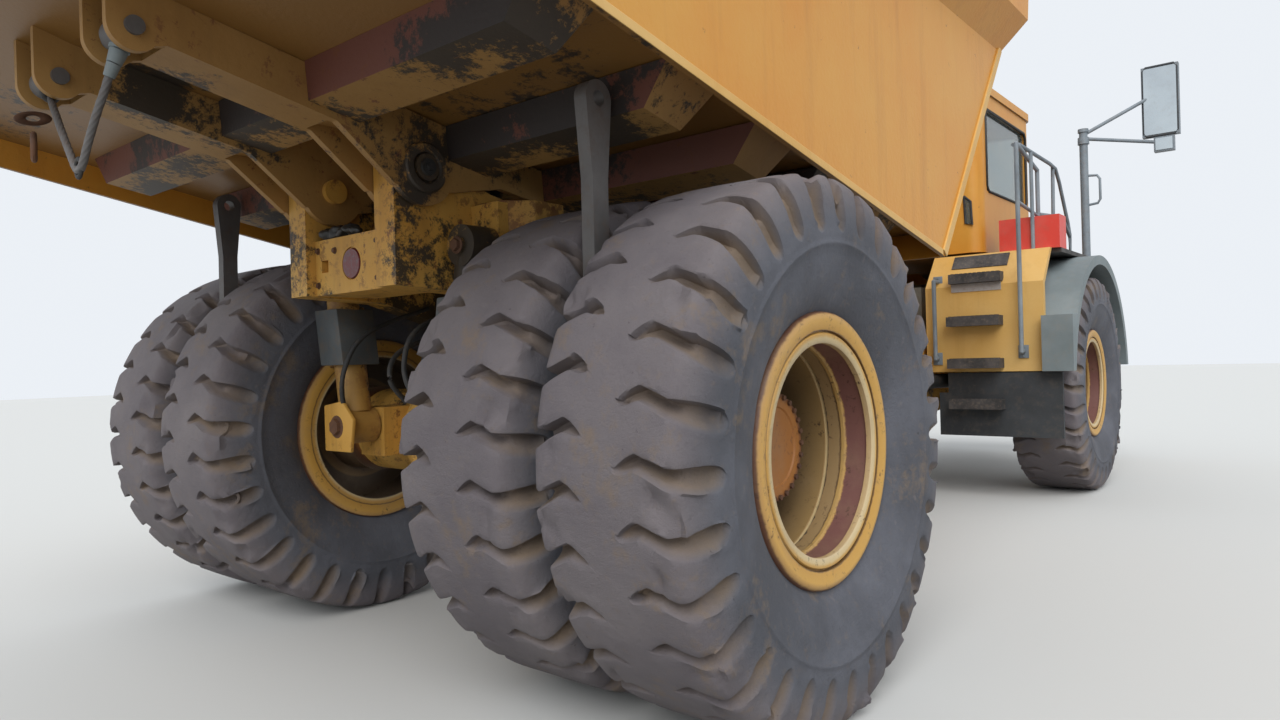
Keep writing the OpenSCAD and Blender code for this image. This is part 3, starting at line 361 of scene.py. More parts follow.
def finishPiece(bm, name, material, body, replaced=(), smooth=None):  # smooth is the widest soft angle
    bmesh.ops.recalc_face_normals(bm, faces=bm.faces)
    for face in bm.faces:
        face.smooth = smooth is not None
    if smooth is not None:
        limit = math.radians(smooth)
        for edge in bm.edges:
            edge.smooth = len(edge.link_faces) == 2 and edge.calc_face_angle(0.0) < limit
    made = meshObject(bm, name)
    made.data.materials.append(materials[material])
    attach(made, body)
    if replaced:
        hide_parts(*replaced)
    return made


def vertsOf(geom):
    return [g for g in geom if isinstance(g, bmesh.types.BMVert)]


def along(direction):  # turns Z to a direction
    return Vector((0, 0, 1)).rotation_difference(Vector(direction)).to_matrix()


def thicken(bm, faces, push):
    grown = bmesh.ops.extrude_face_region(bm, geom=faces, use_keep_orig=True)["geom"]
    bmesh.ops.translate(bm, verts=vertsOf(grown), vec=push)
    return vertsOf(grown)


def smoothRoute(points, count):
    p = np.array(points, float)
    out = []
    for t in np.linspace(0, len(p) - 1, count):
        i = min(int(t), len(p) - 2)
        u = t - i
        a, b, c, d = p[max(i - 1, 0)], p[i], p[i + 1], p[min(i + 2, len(p) - 1)]
        out.append(0.5 * (2 * b + u * (c - a) + u * u * (2 * a - 5 * b + 4 * c - d)
                          + u ** 3 * (3 * b - a - 3 * c + d)))
    return [Vector(q) for q in out]


def sweep(bm, ring, route, turnAt):  # carries a capped ring along a route, with a cap at each end
    flat = [v.co.copy() for v in ring]
    faces = list({f for v in ring for f in v.link_faces})
    for k, here in enumerate(route):
        ahead = (route[min(k + 1, len(route) - 1)] - route[max(k - 1, 0)]).normalized()
        if k:
            grown = bmesh.ops.extrude_face_region(bm, geom=faces)["geom"]
            if k > 1:
                bmesh.ops.delete(bm, geom=faces, context="FACES_KEEP_BOUNDARY")
            ring = vertsOf(grown)
            faces = [g for g in grown if isinstance(g, bmesh.types.BMFace)]
        turn = turnAt(k, ahead)
        for v, start in zip(ring, flat):
            v.co = here + turn @ start


# Wire rope sling under the tail, its route in millimetres
sling = {"radius": 0.014, "strands": 6, "turn": 0.22, "rings": 150, "flute": 0.11,
         "route": [(-385, 5365, 2560), (-380, 5375, 2520), (-362, 5390, 2470), (-335, 5402, 2405),
                   (-300, 5412, 2345), (-262, 5418, 2290), (-222, 5422, 2235), (-190, 5424, 2190),
                   (-165, 5425, 2165), (-135, 5425, 2158), (-105, 5424, 2172), (-60, 5420, 2210),
                   (0, 5414, 2262), (60, 5408, 2315), (120, 5402, 2368), (180, 5394, 2420),
                   (235, 5386, 2462), (290, 5376, 2500), (340, 5366, 2540), (380, 5360, 2575)]}


def makeSling(s):
    route = smoothRoute(np.array(s["route"], float) / 1000, s["rings"])
    gone = [0.0]
    for a, b in zip(route, route[1:]):
        gone.append(gone[-1] + (b - a).length)
    bm = bmesh.new()
    ring = bmesh.ops.create_circle(bm, segments=s["strands"] * 4, radius=s["radius"], cap_ends=True)["verts"]
    for v in ring:  # the grooves between the strands
        a = math.atan2(v.co.y, v.co.x)
        v.co *= 1 - s["flute"] * (1 - abs(math.cos(a * s["strands"] / 2)))

    def laidTurn(k, ahead):
        across = Vector((0, 1, 0)).cross(ahead).normalized()
        level = Matrix((across, ahead.cross(across), ahead)).transposed()
        return level @ Matrix.Rotation(gone[k] / s["turn"] * 2 * math.pi, 3, "Z")

    sweep(bm, ring, route, laidTurn)
    made = finishPiece(bm, "slingRope", "bareSteel", "bed", ["sling"], 50)


makeSling(sling)
print("sling made")

# Tyres: one pitch of the tread is shaped, then spun round the axle
tyre = {
    "pitches": 32, "radius": 1.055, "width": 0.66,
    "section": [(1.055, 0.0), (1.055, 0.10), (1.054, 0.20), (1.051, 0.248), (1.043, 0.276), (1.024, 0.290),
                (0.985, 0.308), (0.93, 0.321), (0.80, 0.330), (0.67, 0.303), (0.575, 0.262), (0.545, 0.246),
                (0.525, 0.214), (0.452, 0.202)],
    "rows": [0, 0.04, 0.065, 0.077, 0.088, 0.10, 0.115, 0.13, 0.145, 0.155, 0.165, 0.18, 0.20, 0.22, 0.24, 0.255,
             0.27, 0.288, 0.306, 0.33, 0.355, 0.38, 0.405, 0.43, 0.45, 0.468, 0.482, 0.494, 0.505, 0.52, 0.535, 0.541,
             0.549, 0.555, 0.60, 0.66, 0.72, 0.77, 0.81, 0.85, 0.89, 0.925],
    "ringRows": (0.541, 0.549), "ringHeight": 0.004, "columns": 13,
    "turns": {"rear_tyres_right": (0.424, 0.81), "rear_tyres_left": (-0.25, -0.25), "front_tyre_right": (0.25,),
              "front_tyre_left": (-0.25,)},
}
# Along the groove from its inner end: place from the centre line, share of a pitch it leans, half width, depth
grooveTable = np.array([
    (0.072, 0.00, 0.003, 0.000), (0.088, 0.03, 0.011, 0.028), (0.12, 0.10, 0.020, 0.046), (0.15, 0.15, 0.023, 0.054),
    (0.19, 0.08, 0.022, 0.060), (0.255, -0.06, 0.025, 0.072), (0.30, -0.10, 0.033, 0.076), (0.36, -0.12, 0.039, 0.066),
    (0.42, -0.13, 0.040, 0.048), (0.46, -0.14, 0.037, 0.030), (0.49, -0.14, 0.026, 0.012), (0.505, -0.14, 0.006, 0.0)])


def sectionAt(t, rows):
    p = np.array(t["section"])
    for _ in range(2):  # corner cutting rounds the outline
        cut = [p[0]]
        for a, b in zip(p, p[1:]):
            cut += [a * 0.75 + b * 0.25, a * 0.25 + b * 0.75]
        p = np.array(cut + [p[-1]])
    far = np.concatenate([[0], np.cumsum(np.linalg.norm(np.diff(p, axis=0), axis=1))])
    rows = np.minimum(rows, far[-1])
    return np.interp(rows, far, p[:, 0]), np.interp(rows, far, p[:, 1])


def makeTyre(t, centre, turn, seed):
    pitch = 2 * math.pi / t["pitches"]
    rows = np.array(t["rows"])
    radii, halves = sectionAt(t, rows)
    halves = halves + np.isin(t["rows"], t["ringRows"]) * t["ringHeight"]
    bm = bmesh.new()
    treadLayer = bm.verts.layers.float.new("treadShare")
    grooveLayer = bm.verts.layers.float.new("grooveShare")
    placeLayer = bm.verts.layers.float.new("place")
    line = []
    for sign, order in ((-1, range(len(rows) - 1, 0, -1)), (1, range(len(rows)))):
        for i in order:
            v = bm.verts.new((sign * halves[i], 0, radii[i]))
            v[placeLayer] = sign * rows[i]
            line.append(v)
    edges = [bm.edges.new((a, b)) for a, b in zip(line, line[1:] + line[:1])]
    bmesh.ops.spin(bm, geom=line + edges, cent=(0, 0, 0), axis=(-1, 0, 0), angle=pitch,
                   steps=t["columns"])
    bm.verts.ensure_lookup_table()
    step = pitch / t["columns"]
    for v in bm.verts:
        place = v[placeLayer]
        far = abs(place)
        radius = math.hypot(v.co.y, v.co.z)
        column = round(math.atan2(v.co.y, v.co.z) / step)
        lean, half, depth = (np.interp(far, grooveTable[:, 0], grooveTable[:, k]) for k in (1, 2, 3))
        side = 0.25 * math.copysign(1, place) if far > 0.077 else 0.25 * place / 0.077
        reach = pitch * radius / 2
        lip, edge = half + 0.002, half + 0.009
        # The upper wall drops steeply, the lower one rises as a ramp
        spread = [-reach, -edge - (reach - edge) * 0.66, -edge - (reach - edge) * 0.33, -edge, -lip, -half * 0.9,
                  -half * 0.4, half * 0.15, half * 0.65, lip, edge, edge + (reach - edge) * 0.33,
                  edge + (reach - edge) * 0.66, reach]
        sink = [0, 0, 0, 0, 0.05, 0.97, 1.05, 0.95, 0.6, 0.08, 0, 0, 0, 0][column] * depth
        angle = spread[column] / radius - (lean + side) * pitch
        out = Vector((0.0, math.sin(angle), math.cos(angle)))
        inwards = min(max((far - 0.26) / 0.2, 0), 1) * 0.85  # on the sidewall the groove goes inwards along X
        across = Vector((v.co.x - math.copysign(sink * inwards, place), 0, 0))
        v.co = across + out * (radius - sink * (1 - inwards * 0.7))
        v[treadLayer] = min(max((0.46 - far) / 0.16, 0), 1)
        v[grooveLayer] = min(sink / 0.03, 1)
    geom = bm.verts[:] + bm.edges[:] + bm.faces[:]
    bmesh.ops.spin(bm, geom=geom, cent=(0, 0, 0), axis=(-1, 0, 0), angle=pitch * (t["pitches"] - 1),
                   steps=t["pitches"] - 1, use_duplicate=True)
    bmesh.ops.remove_doubles(bm, verts=bm.verts, dist=0.0004)
    shift = Vector((seed * 3.7, seed * 1.3, 0))
    for v in bm.verts:
        far = abs(v[placeLayer])
        if far > 0.9:
            continue
        rough = noise.noise(v.co * 6 + shift) * 0.0025 + noise.noise(v.co * 21 + shift) * 0.0012
        if 0.2 < far < 0.34:  # torn shoulders
            rough -= max(noise.noise(v.co * 7 + shift) - 0.18, 0) * 0.05
        if far < 0.48 and 0.02 < v[grooveLayer] < 0.9:  # chipped lips
            rough -= max(noise.noise(v.co * 9 + shift) - 0.1, 0) * 0.03
        flat = Vector((0, v.co.y, v.co.z)).normalized()
        v.co += flat * min(rough, 0.0) * 1.6 if far < 0.3 else Vector((math.copysign(rough, v.co.x), 0, 0))
    bmesh.ops.rotate(bm, verts=bm.verts, cent=(0, 0, 0), matrix=Matrix.Rotation(turn * pitch, 3, "X"))
    bmesh.ops.translate(bm, verts=bm.verts, vec=centre)
    return bm


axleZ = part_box("rear_tyres_left")[0].z + tyre["radius"]


def tyreCentres(node, count):
    low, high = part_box(node)
    y, half = (low.y + high.y) / 2, tyre["width"] / 2
    return [Vector((low.x + half, y, axleZ)), Vector((high.x - half, y, axleZ))][:count]


seed = 0
for node, body, count in (("rear_tyres_right", "rear_wheel_right", 2), ("rear_tyres_left", "rear_wheel_left", 2),
                          ("front_tyre_right", "front_wheel_right", 1), ("front_tyre_left", "front_wheel_left", 1)):
    for k, centre in enumerate(tyreCentres(node, count)):
        bm = makeTyre(tyre, centre, tyre["turns"][node][k], seed)
        finishPiece(bm, node + "Rubber" + str(k + 1), "wornRubber", body, [node], 38)
        seed += 1
print("tyres made")

# Small pieces: bolts, pipes and rings

def addBolt(bm, place, direction, radius, height, sides=6):
    turn = along(direction).to_4x4()
    lift = Matrix.Translation(Vector(place)) @ turn @ Matrix.Translation((0, 0, height / 2))
    bmesh.ops.create_cone(bm, cap_ends=True, segments=sides, radius1=radius, radius2=radius * 0.93, depth=height,
                          matrix=lift)
    if sides == 6:  # washer under a hexagon
        under = Matrix.Translation(Vector(place)) @ turn @ Matrix.Translation((0, 0, height * 0.08))
        bmesh.ops.create_cone(bm, cap_ends=True, segments=20, radius1=radius * 1.35, radius2=radius * 1.3,
                              depth=height * 0.16, matrix=under)


def addPipe(bm, route, radius, sides=10):
    ring = bmesh.ops.create_circle(bm, segments=sides, radius=radius, cap_ends=True)["verts"]
    sweep(bm, ring, [Vector(p) for p in route], lambda k, ahead: along(ahead))


def addRing(bm, place, direction, radius, thick, stretch=1.0, steps=28, sides=10):
    place, turn = Vector(place), along(direction)
    start = Matrix.Translation(place + turn @ Vector((radius, 0, 0)))
    upright = (turn @ Matrix.Rotation(math.pi / 2, 3, "X")).to_4x4()
    section = bmesh.ops.create_circle(bm, segments=sides, radius=thick,
                                      matrix=start @ upright)["verts"]
    edges = list({e for v in section for e in v.link_edges})
    bmesh.ops.spin(bm, geom=section + edges, cent=place, axis=turn @ Vector((0, 0, 1)), angle=2 * math.pi,
                   steps=steps, use_merge=True)
    if stretch != 1.0:  # a link, drawn out to one side of round
        across = turn @ Vector((0, 1, 0))
        for v in [v for v in bm.verts if (v.co - place).length < radius + thick * 2]:
            v.co += across * (v.co - place).dot(across) * (stretch - 1)


# Turned wheels, their outlines as radius and place along the axle
wheel = {
    "rim": [(0.445, 0.202), (0.523, 0.216), (0.533, 0.230), (0.529, 0.247), (0.518, 0.256), (0.503, 0.258),
            (0.459, 0.244), (0.459, 0.230), (0.452, 0.230), (0.451, 0.238), (0.446, 0.243), (0.417, 0.242),
            (0.410, 0.236), (0.410, 0.214), (0.423, 0.210), (0.423, 0.116), (0.414, 0.112), (0.414, 0.098),
            (0.421, 0.092), (0.421, 0.032), (0.427, 0.028), (0.427, 0.020), (0.421, 0.016), (0.421, -0.248),
            (0.503, -0.258), (0.527, -0.250), (0.533, -0.230), (0.523, -0.216), (0.445, -0.202)],
    "rear": {"rims": (1.1, 1.85), "turned": [
        [(0.400, 1.336), (0.435, 1.336), (0.435, 1.614), (0.400, 1.614)],
        [(0.195, 1.06), (0.435, 1.06), (0.435, 1.11), (0.195, 1.11)],
        [(0.0, 0.84), (0.25, 0.84), (0.25, 1.52), (0.20, 1.53), (0.20, 1.805), (0.222, 1.810), (0.225, 1.818),
         (0.225, 1.850), (0.215, 1.863), (0.165, 1.863), (0.160, 1.857), (0.0, 1.857)]]},
    "front": {"rims": (1.49,), "turned": [
        [(0.22, 1.43), (0.435, 1.43), (0.435, 1.48), (0.22, 1.48)],
        [(0.0, 1.19), (0.25, 1.19), (0.25, 1.50), (0.24, 1.51), (0.18, 1.51), (0.18, 1.60), (0.17, 1.61),
         (0.0, 1.61)]]}}


def addTurned(bm, outline, centre, side, steps=80):
    line = [bm.verts.new((side * x, centre.y, centre.z + r)) for r, x in outline]
    edges = [bm.edges.new((a, b)) for a, b in zip(line, line[1:] + line[:1])]
    bmesh.ops.spin(bm, geom=line + edges, cent=(0, centre.y, centre.z), axis=(1, 0, 0), angle=2 * math.pi,
                   steps=steps, use_merge=True)


def makeWheel(w, node, side):
    kind = w[node.split("_")[0]]
    low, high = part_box(node)
    centre = (low + high) / 2
    bm = bmesh.new()
    for x in kind["rims"]:
        addTurned(bm, [(r, x + out) for r, out in w["rim"]], centre, side)
    for outline in kind["turned"]:
        addTurned(bm, outline, centre, side)
    bmesh.ops.remove_doubles(bm, verts=bm.verts, dist=0.00005)
    paint = "rearRimPaint" if "rear" in node else "frontRimPaint"
    finishPiece(bm, node + "Turned", paint, node.replace("rim", "wheel"), [node], 40)


rimNodes = (("rear_rim_right", -1), ("rear_rim_left", 1), ("front_rim_right", -1), ("front_rim_left", 1))
for node, side in rimNodes:
    makeWheel(wheel, node, side)
print("rims made")

hubs = {"bolts": 26, "radius": 0.0125, "height": 0.016, "rear": {"out": 1.857, "ring": 0.207},
        "front": {"out": 1.508, "ring": 0.215}}


def makeHubBolts(h, node, side):
    kind = h[node.split("_")[0]]
    low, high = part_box(node)
    y, z = (low.y + high.y) / 2, (low.z + high.z) / 2
    bm = bmesh.new()
    for a in np.linspace(0, 2 * math.pi, h["bolts"], endpoint=False):
        place = (side * kind["out"], y + kind["ring"] * math.cos(a), z + kind["ring"] * math.sin(a))
        addBolt(bm, place, (side, 0, 0), h["radius"], h["height"])
    finishPiece(bm, node + "Bolts", "rustyIron", node.replace("rim", "wheel"), smooth=30)


for node, side in rimNodes:
    makeHubBolts(hubs, node, side)

# Tail: hinge caps and bosses, grease, the reflector and the bolts
tail = {"hinge": (4.19, 2.30), "boss": [(0.068, 0.486), (0.068, 0.512), (0.076, 0.518), (0.104, 0.518),
                                        (0.112, 0.510), (0.112, 0.486)],
        "caps": [(0.519, 0.04, 0.012, 24), (0.53, 0.017, 0.016, 6)],
        "grease": [(0.20, 4.245, 2.075, 0.040), (0.14, 4.235, 2.085, 0.045), (0.085, 4.245, 2.075, 0.034),
                   (0.03, 4.23, 2.08, 0.040), (-0.03, 4.24, 2.072, 0.028), (0.25, 4.20, 2.09, 0.045)],
        "reflector": (-0.02, 4.261, 1.915), "plateY": 4.27,
        "plateBolts": [(-0.235, 1.83), (-0.235, 2.0), (0.27, 1.83), (0.27, 2.0), (0.12, 1.99)],
        "strutBolts": [((0.565, 4.08, 1.96), 0.03, 0.02), ((0.43, 4.10, 1.115), 0.045, 0.022)]}


def makeTailPieces(t):
    hingeY, hingeZ = t["hinge"]
    bm = bmesh.new()
    for side in (-1, 1):
        for out, radius, height, sides in t["caps"]:
            addBolt(bm, (side * out, hingeY, hingeZ), (side, 0, 0), radius, height, sides)
    finishPiece(bm, "hingeCaps", "greasyBlack", "rear_frame", smooth=30)
    bm = bmesh.new()
    for side in (-1, 1):
        addTurned(bm, t["boss"], Vector((0, hingeY, hingeZ)), side, 48)
    finishPiece(bm, "hingeBosses", "undersidePaint", "bed", smooth=35)
    bm = bmesh.new()
    for x, y, z, radius in t["grease"]:
        lump = bmesh.ops.create_icosphere(bm, subdivisions=3, radius=radius, matrix=Matrix.Translation((x, y, z)))
        for v in lump["verts"]:
            v.co += (v.co - Vector((x, y, z))) * noise.noise(v.co * 30) * 0.5
            v.co.z = z + (v.co.z - z) * 0.72
    finishPiece(bm, "greaseLumps", "greasyBlack", "rear_frame", smooth=60)
    bm = bmesh.new()
    addBolt(bm, t["reflector"], (0, 1, 0), 0.074, 0.012, 32)
    finishPiece(bm, "reflector", "redLens", "rear_frame", smooth=30)
    bm = bmesh.new()
    for x, z in t["plateBolts"]:
        addBolt(bm, (x, t["plateY"], z), (0, 1, 0), 0.013, 0.012)
    for side in (-1, 1):
        for (x, y, z), radius, height in t["strutBolts"]:
            addBolt(bm, (side * x, y, z), (0, 1, 0), radius, height)
    finishPiece(bm, "rearBolts", "rustyIron", "rear_frame", smooth=30)


makeTailPieces(tail)

def addPlate(bm, outline, axis, start, thick, bevel=0.0):  # an outline in the plane across the axis, made thick
    at = {"x": lambda a, b: (start, a, b), "y": lambda a, b: (a, start, b), "z": lambda a, b: (a, b, start)}[axis]
    push = {"x": (thick, 0, 0), "y": (0, thick, 0), "z": (0, 0, thick)}[axis]
    face = bm.faces.new([bm.verts.new(at(a, b)) for a, b in outline])
    verts = set(face.verts) | set(thicken(bm, [face], push))
    if bevel:
        edges = [e for e in bm.edges if e.verts[0] in verts and e.verts[1] in verts]
        bmesh.ops.bevel(bm, geom=edges, offset=bevel, offset_type="OFFSET", affect="EDGES", segments=2,
                        profile=0.5, material=-1)


sideNames = ((-1, "Right"), (1, "Left"))

# Boxes, guards and plates round the rear struts
strutArea = {"box": [(0.43, 3.54), (0.715, 3.54), (0.715, 3.73), (0.605, 3.86), (0.43, 3.86)],
             "boxZ": (1.90, 0.285), "guard": [(0.372, 1.436), (0.588, 1.436), (0.637, 1.732), (0.421, 1.732)],
             "guardY": (3.87, 0.22), "plateY": (4.079, 0.022),
             "plate": [(0.31, 0.985), (0.28, 1.155), (0.38, 1.25), (0.55, 1.225), (0.55, 0.985)]}


def makeStrutArea(s):
    for key, name, material, slotName in (("box", "outrigger", "boxPaint", "paint"),
                                          ("guard", "strutGuard", "strutGrey", "strut"),
                                          ("plate", "axlePlate", "framePaint", "paint")):
        for side, label in sideNames:
            bm = bmesh.new()
            axis, span = ("z", s["boxZ"]) if key == "box" else ("y", s[key + "Y"])
            addPlate(bm, [(side * a, b) for a, b in s[key]], axis, *span, bevel=0.007)
            finishPiece(bm, name + label, material, "rear_frame", smooth=30)


makeStrutArea(strutArea)
print("strut pieces made")

# Rope socket, the knot at the far ear, and the links that hang beside it
ropeEnds = {"socket": [(-0.385, 5.365, 2.56), (-0.3825, 5.37, 2.54), (-0.372, 5.383, 2.495), (-0.355, 5.394, 2.45)],
            "widths": [(0.034, 0.034), (0.030, 0.024), (0.023, 0.019)],
            "knot": [((-0.138, 5.4252, 2.166), (0, 1, 0), 0.026, 0.0075, 1.25),
                     ((0.352, 5.364, 2.556), (0.6, 0.2, 0.7), 0.024, 0.014),
                     ((0.366, 5.362, 2.566), (0.2, 0.8, 0.5), 0.026, 0.013),
                     ((0.335, 5.368, 2.544), (0.75, -0.3, 0.6), 0.021, 0.013)],
            "links": [((0.44, 5.40, 2.465), (1, 0.25, 0), 0.020, 0.009, 2.6),
                      ((0.44, 5.40, 2.35), (0.3, 1, 0), 0.038, 0.0115, 1.35)]}


def makeRopeEnds(r):
    bm = bmesh.new()
    points = [Vector(p) for p in r["socket"]]
    for a, b, (wide, slim) in zip(points, points[1:], r["widths"]):
        lift = Matrix.Translation((a + b) / 2) @ along(b - a).to_4x4()
        bmesh.ops.create_cone(bm, cap_ends=True, segments=24, radius1=wide, radius2=slim, depth=(b - a).length,
                              matrix=lift)
    finishPiece(bm, "ropeSocket", "greyPlastic", "bed", smooth=40)
    for key, name, material in (("knot", "ropeKnot", "darkRubber"), ("links", "hangingLink", "rustyIron")):
        bm = bmesh.new()
        for ring in r[key]:
            addRing(bm, *ring)
        finishPiece(bm, name, material, "bed", smooth=40)


makeRopeEnds(ropeEnds)

hoses = {"radius": 0.013, "routes": [
    [(-0.28, 3.6, 1.75), (-0.30, 3.95, 1.62), (-0.33, 4.10, 1.45), (-0.36, 4.12, 1.28), (-0.40, 4.06, 1.12)],
    [(-0.20, 3.7, 1.72), (-0.18, 4.02, 1.60), (-0.20, 4.12, 1.42), (-0.26, 4.10, 1.26), (-0.33, 4.0, 1.16)],
    [(0.30, 3.6, 1.74), (0.31, 3.98, 1.60), (0.34, 4.10, 1.42), (0.38, 4.09, 1.24), (0.42, 4.0, 1.15)],
    [(0.10, 3.55, 1.62), (0.06, 3.95, 1.50), (0.02, 4.05, 1.36), (0.03, 3.95, 1.24)]]}


def makeHoses(h):
    bm = bmesh.new()
    for route in h["routes"]:
        addPipe(bm, smoothRoute(route, 26), h["radius"])
    finishPiece(bm, "brakeHoses", "darkRubber", "rear_frame", smooth=60)


makeHoses(hoses)


# Mirror panes as x, z, width and height
mirrorPanes = {"depth": 0.081, "thick": 0.004, "panes": [(2.265, 3.92, 0.29, 0.68), (2.29, 3.475, 0.15, 0.12)]}


def makeMirrorFaces(m):
    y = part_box("mirrors")[0].y + m["depth"]
    for side, label in sideNames:
        bm = bmesh.new()
        for x, z, wide, tall in m["panes"]:
            lift = (Matrix.Translation((side * x, y, z)) @ Matrix.Rotation(-math.pi / 2, 4, "X")
                    @ Matrix.Diagonal((wide, tall, 1, 1)))
            made = bmesh.ops.create_grid(bm, x_segments=1, y_segments=1, size=0.5, matrix=lift)["verts"]
            grown = bmesh.ops.extrude_face_region(bm, geom=list({f for v in made for f in v.link_faces}))["geom"]
            bmesh.ops.translate(bm, verts=vertsOf(grown), vec=(0, m["thick"], 0))
        finishPiece(bm, "mirrorFace" + label, "mirrorFace", "front_unit")


makeMirrorFaces(mirrorPanes)
print("small pieces made")

# Rails of the right side, with feet and post caps, and the mirrors' frames
rails = {"pole": 0.018, "grab": 0.013, "post": (1.6, -3.38), "routes": [
    [(-1.413, -2.07, 2.355), (-1.413, -2.07, 3.268)],
    [(-1.36, -1.69, 3.284), (-1.385, -1.80, 3.30), (-1.44, -2.65, 3.25), (-1.455, -2.80, 3.22), (-1.46, -2.92, 3.10),
     (-1.46, -3.24, 2.72), (-1.46, -3.31, 2.60), (-1.46, -3.31, 2.355)],
    [(-1.40, -2.37, 2.72), (-1.45, -2.80, 2.74), (-1.46, -3.10, 2.70), (-1.46, -3.31, 2.58)],
    [(-1.43, -2.75, 2.355), (-1.44, -2.76, 3.235)],
    [(-1.62, -3.38, 2.90), (-1.72, -3.38, 2.91), (-1.745, -3.38, 2.95), (-1.745, -3.38, 3.16), (-1.72, -3.38, 3.20),
     (-1.62, -3.38, 3.21)]],
    "feet": [(-1.39, -1.748, 1.39), (-0.60, -1.748, 1.34), (-0.60, -1.80, 2.085)], "footHalf": (0.045, 0.06),
    "caps": [(3.665, 3.70, 0.052), (3.54, 3.61, 0.055)], "frameY": -3.648,
    "frame": [(2.115, 3.60), (2.115, 4.24), (2.14, 4.275), (2.39, 4.275), (2.415, 4.24), (2.415, 3.60), (2.39, 3.565),
              (2.14, 3.565), (2.115, 3.60)]}


def makeRails(r):
    bm = bmesh.new()
    for route in r["routes"]:
        onPost = route[0][0] < -1.6
        addPipe(bm, route, r["grab"] if onPost else r["pole"], 12)
    wide, tall = r["footHalf"]
    for x, y, z in r["feet"]:
        addPlate(bm, [(x - wide, z - tall), (x + wide, z - tall), (x + wide, z + tall), (x - wide, z + tall)], "y",
                 y, 0.01, 0.003)
        for up in (-0.042, 0.042):
            addBolt(bm, (x, y + 0.01, z + up), (0, 1, 0), 0.009, 0.008)
    postX, postY = r["post"]
    for side in (-1, 1):
        for low, high, radius in r["caps"]:
            lift = Matrix.Translation((side * postX, postY, (low + high) / 2))
            bmesh.ops.create_cone(bm, cap_ends=True, segments=28, radius1=radius, radius2=radius * 0.97,
                                  depth=high - low, matrix=lift)
    finishPiece(bm, "railExtras", "railSteel", "front_unit", smooth=50)
    bm = bmesh.new()
    for side in (-1, 1):
        addPipe(bm, [(side * x, r["frameY"], z) for x, z in r["frame"]], 0.014, 10)
    finishPiece(bm, "mirrorFrames", "darkPlastic", "front_unit", smooth=60)


makeRails(rails)

# Steps: toothed grips, a tread plate on the slope and a bolted riser
steps = {"slope": Vector((0, -0.28, 0.325)).normalized(), "foot": Vector((0, -1.75, 2.03)),
         "topPlate": (0.70, 1.22, 0.235, 0.40),
         "treads": [(1.29, 0.055), (1.69, 0.055), (2.10, -0.035), (0.905, 0.055)],
         "middle": 0.975, "width": 0.46, "face": -1.75, "rows": 4, "teeth": 11, "toothHalf": 0.014,
         "riser": (0.745, 1.205, 1.975, 2.052)}


def makeStepPlates(s):
    out = Vector((0, s["slope"].z, -s["slope"].y))
    dark, pale = bmesh.new(), bmesh.new()
    for side in (-1, 1):
        x0, x1, low, high = s["topPlate"]
        corners = [(side * x0, low), (side * x1, low), (side * x1, high), (side * x0, high)]
        face = dark.faces.new([dark.verts.new(s["foot"] + s["slope"] * t + out * 0.001 + Vector((x, 0, 0)))
                               for x, t in corners])
        thicken(dark, [face], out * 0.008)
        for z, back in s["treads"]:
            for row in range(s["rows"]):
                y = s["face"] + back + row * 0.022
                for tooth in range(s["teeth"]):
                    x = side * (s["middle"] - s["width"] / 2 + (tooth + 0.5) * s["width"] / s["teeth"])
                    x0, x1 = x - s["toothHalf"], x + s["toothHalf"]
                    addPlate(dark, [(x0, y), (x1, y), (x1, y + 0.008), (x0, y + 0.008)], "z", z + 0.044, 0.007)
        x0, x1, low, high = s["riser"]
        x0, x1 = side * x0, side * x1
        addPlate(pale, [(x0, low), (x1, low), (x1, high), (x0, high)], "y", s["face"] + 0.001, 0.006)
        for share in (0.30, 0.5, 0.7):
            addBolt(pale, (x0 + (x1 - x0) * share, s["face"] + 0.007, 2.0), (0, 1, 0), 0.007, 0.006)
    finishPiece(dark, "stepGrips", "blackTread", "front_unit")
    finishPiece(pale, "stepRisers", "paleSteel", "front_unit")


makeStepPlates(steps)

# Strips on the bed's edges, and the low windows behind the cab, drawn on the right
edges = {"flange": [(1.81, 1.94), (0.689, 3.36), (0.732, 3.394), (1.853, 1.974)],
         "hem": [(1.85, 1.945), (5.32, 2.590), (5.32, 2.625), (1.85, 1.980)],
         "side": 1.9495, "window": [(-0.79, 2.94), (-0.855, 2.88), (-0.865, 2.65), (-0.80, 2.67)],
        "sealY": -2.044, "paneY": -2.0495}


def makeEdges(e):
    bm = bmesh.new()
    for side in (-1, 1):
        for key, proud in (("flange", 0.012), ("hem", 0.006)):
            addPlate(bm, e[key], "x", side * e["side"], side * proud, 0.003)
    # The strips take the paler panel paint rather than the bed's yellow: a painted highlight along the bed's edges
    finishPiece(bm, "bedEdgeStrips", "panelPaint", "bed")
    for side, label in ((1, "Right"), (-1, "Left")):
        bm = bmesh.new()
        outline = [(side * x, z) for x, z in e["window"]]
        addPipe(bm, [(x, e["sealY"], z) for x, z in outline + outline[:1]], 0.011, 8)
        finishPiece(bm, "lowWindowSeal" + label, "darkRubber", "front_unit", smooth=60)
        bm = bmesh.new()
        addPlate(bm, outline, "y", e["paneY"], 0.006)
        finishPiece(bm, "lowWindow" + label, "cabGlass", "front_unit")


makeEdges(edges)

# Louvres of the bonnet, above the grille and on its sides
nose = {"half": 0.605, "foot": (-5.835, 1.885), "top": (-5.705, 2.205), "slats": 8, "depth": 0.05, "thick": 0.010,
        "rise": 0.018, "uprights": (-0.4, -0.2, 0.0, 0.2, 0.4), "uprightHalf": 0.008, "sideX": 0.829, "sideZ": 2.05,
        "sideSlots": (-5.10, -4.98, -4.86, -4.74, -4.62, -4.50), "slot": (0.035, 0.26), "lean": 0.02}


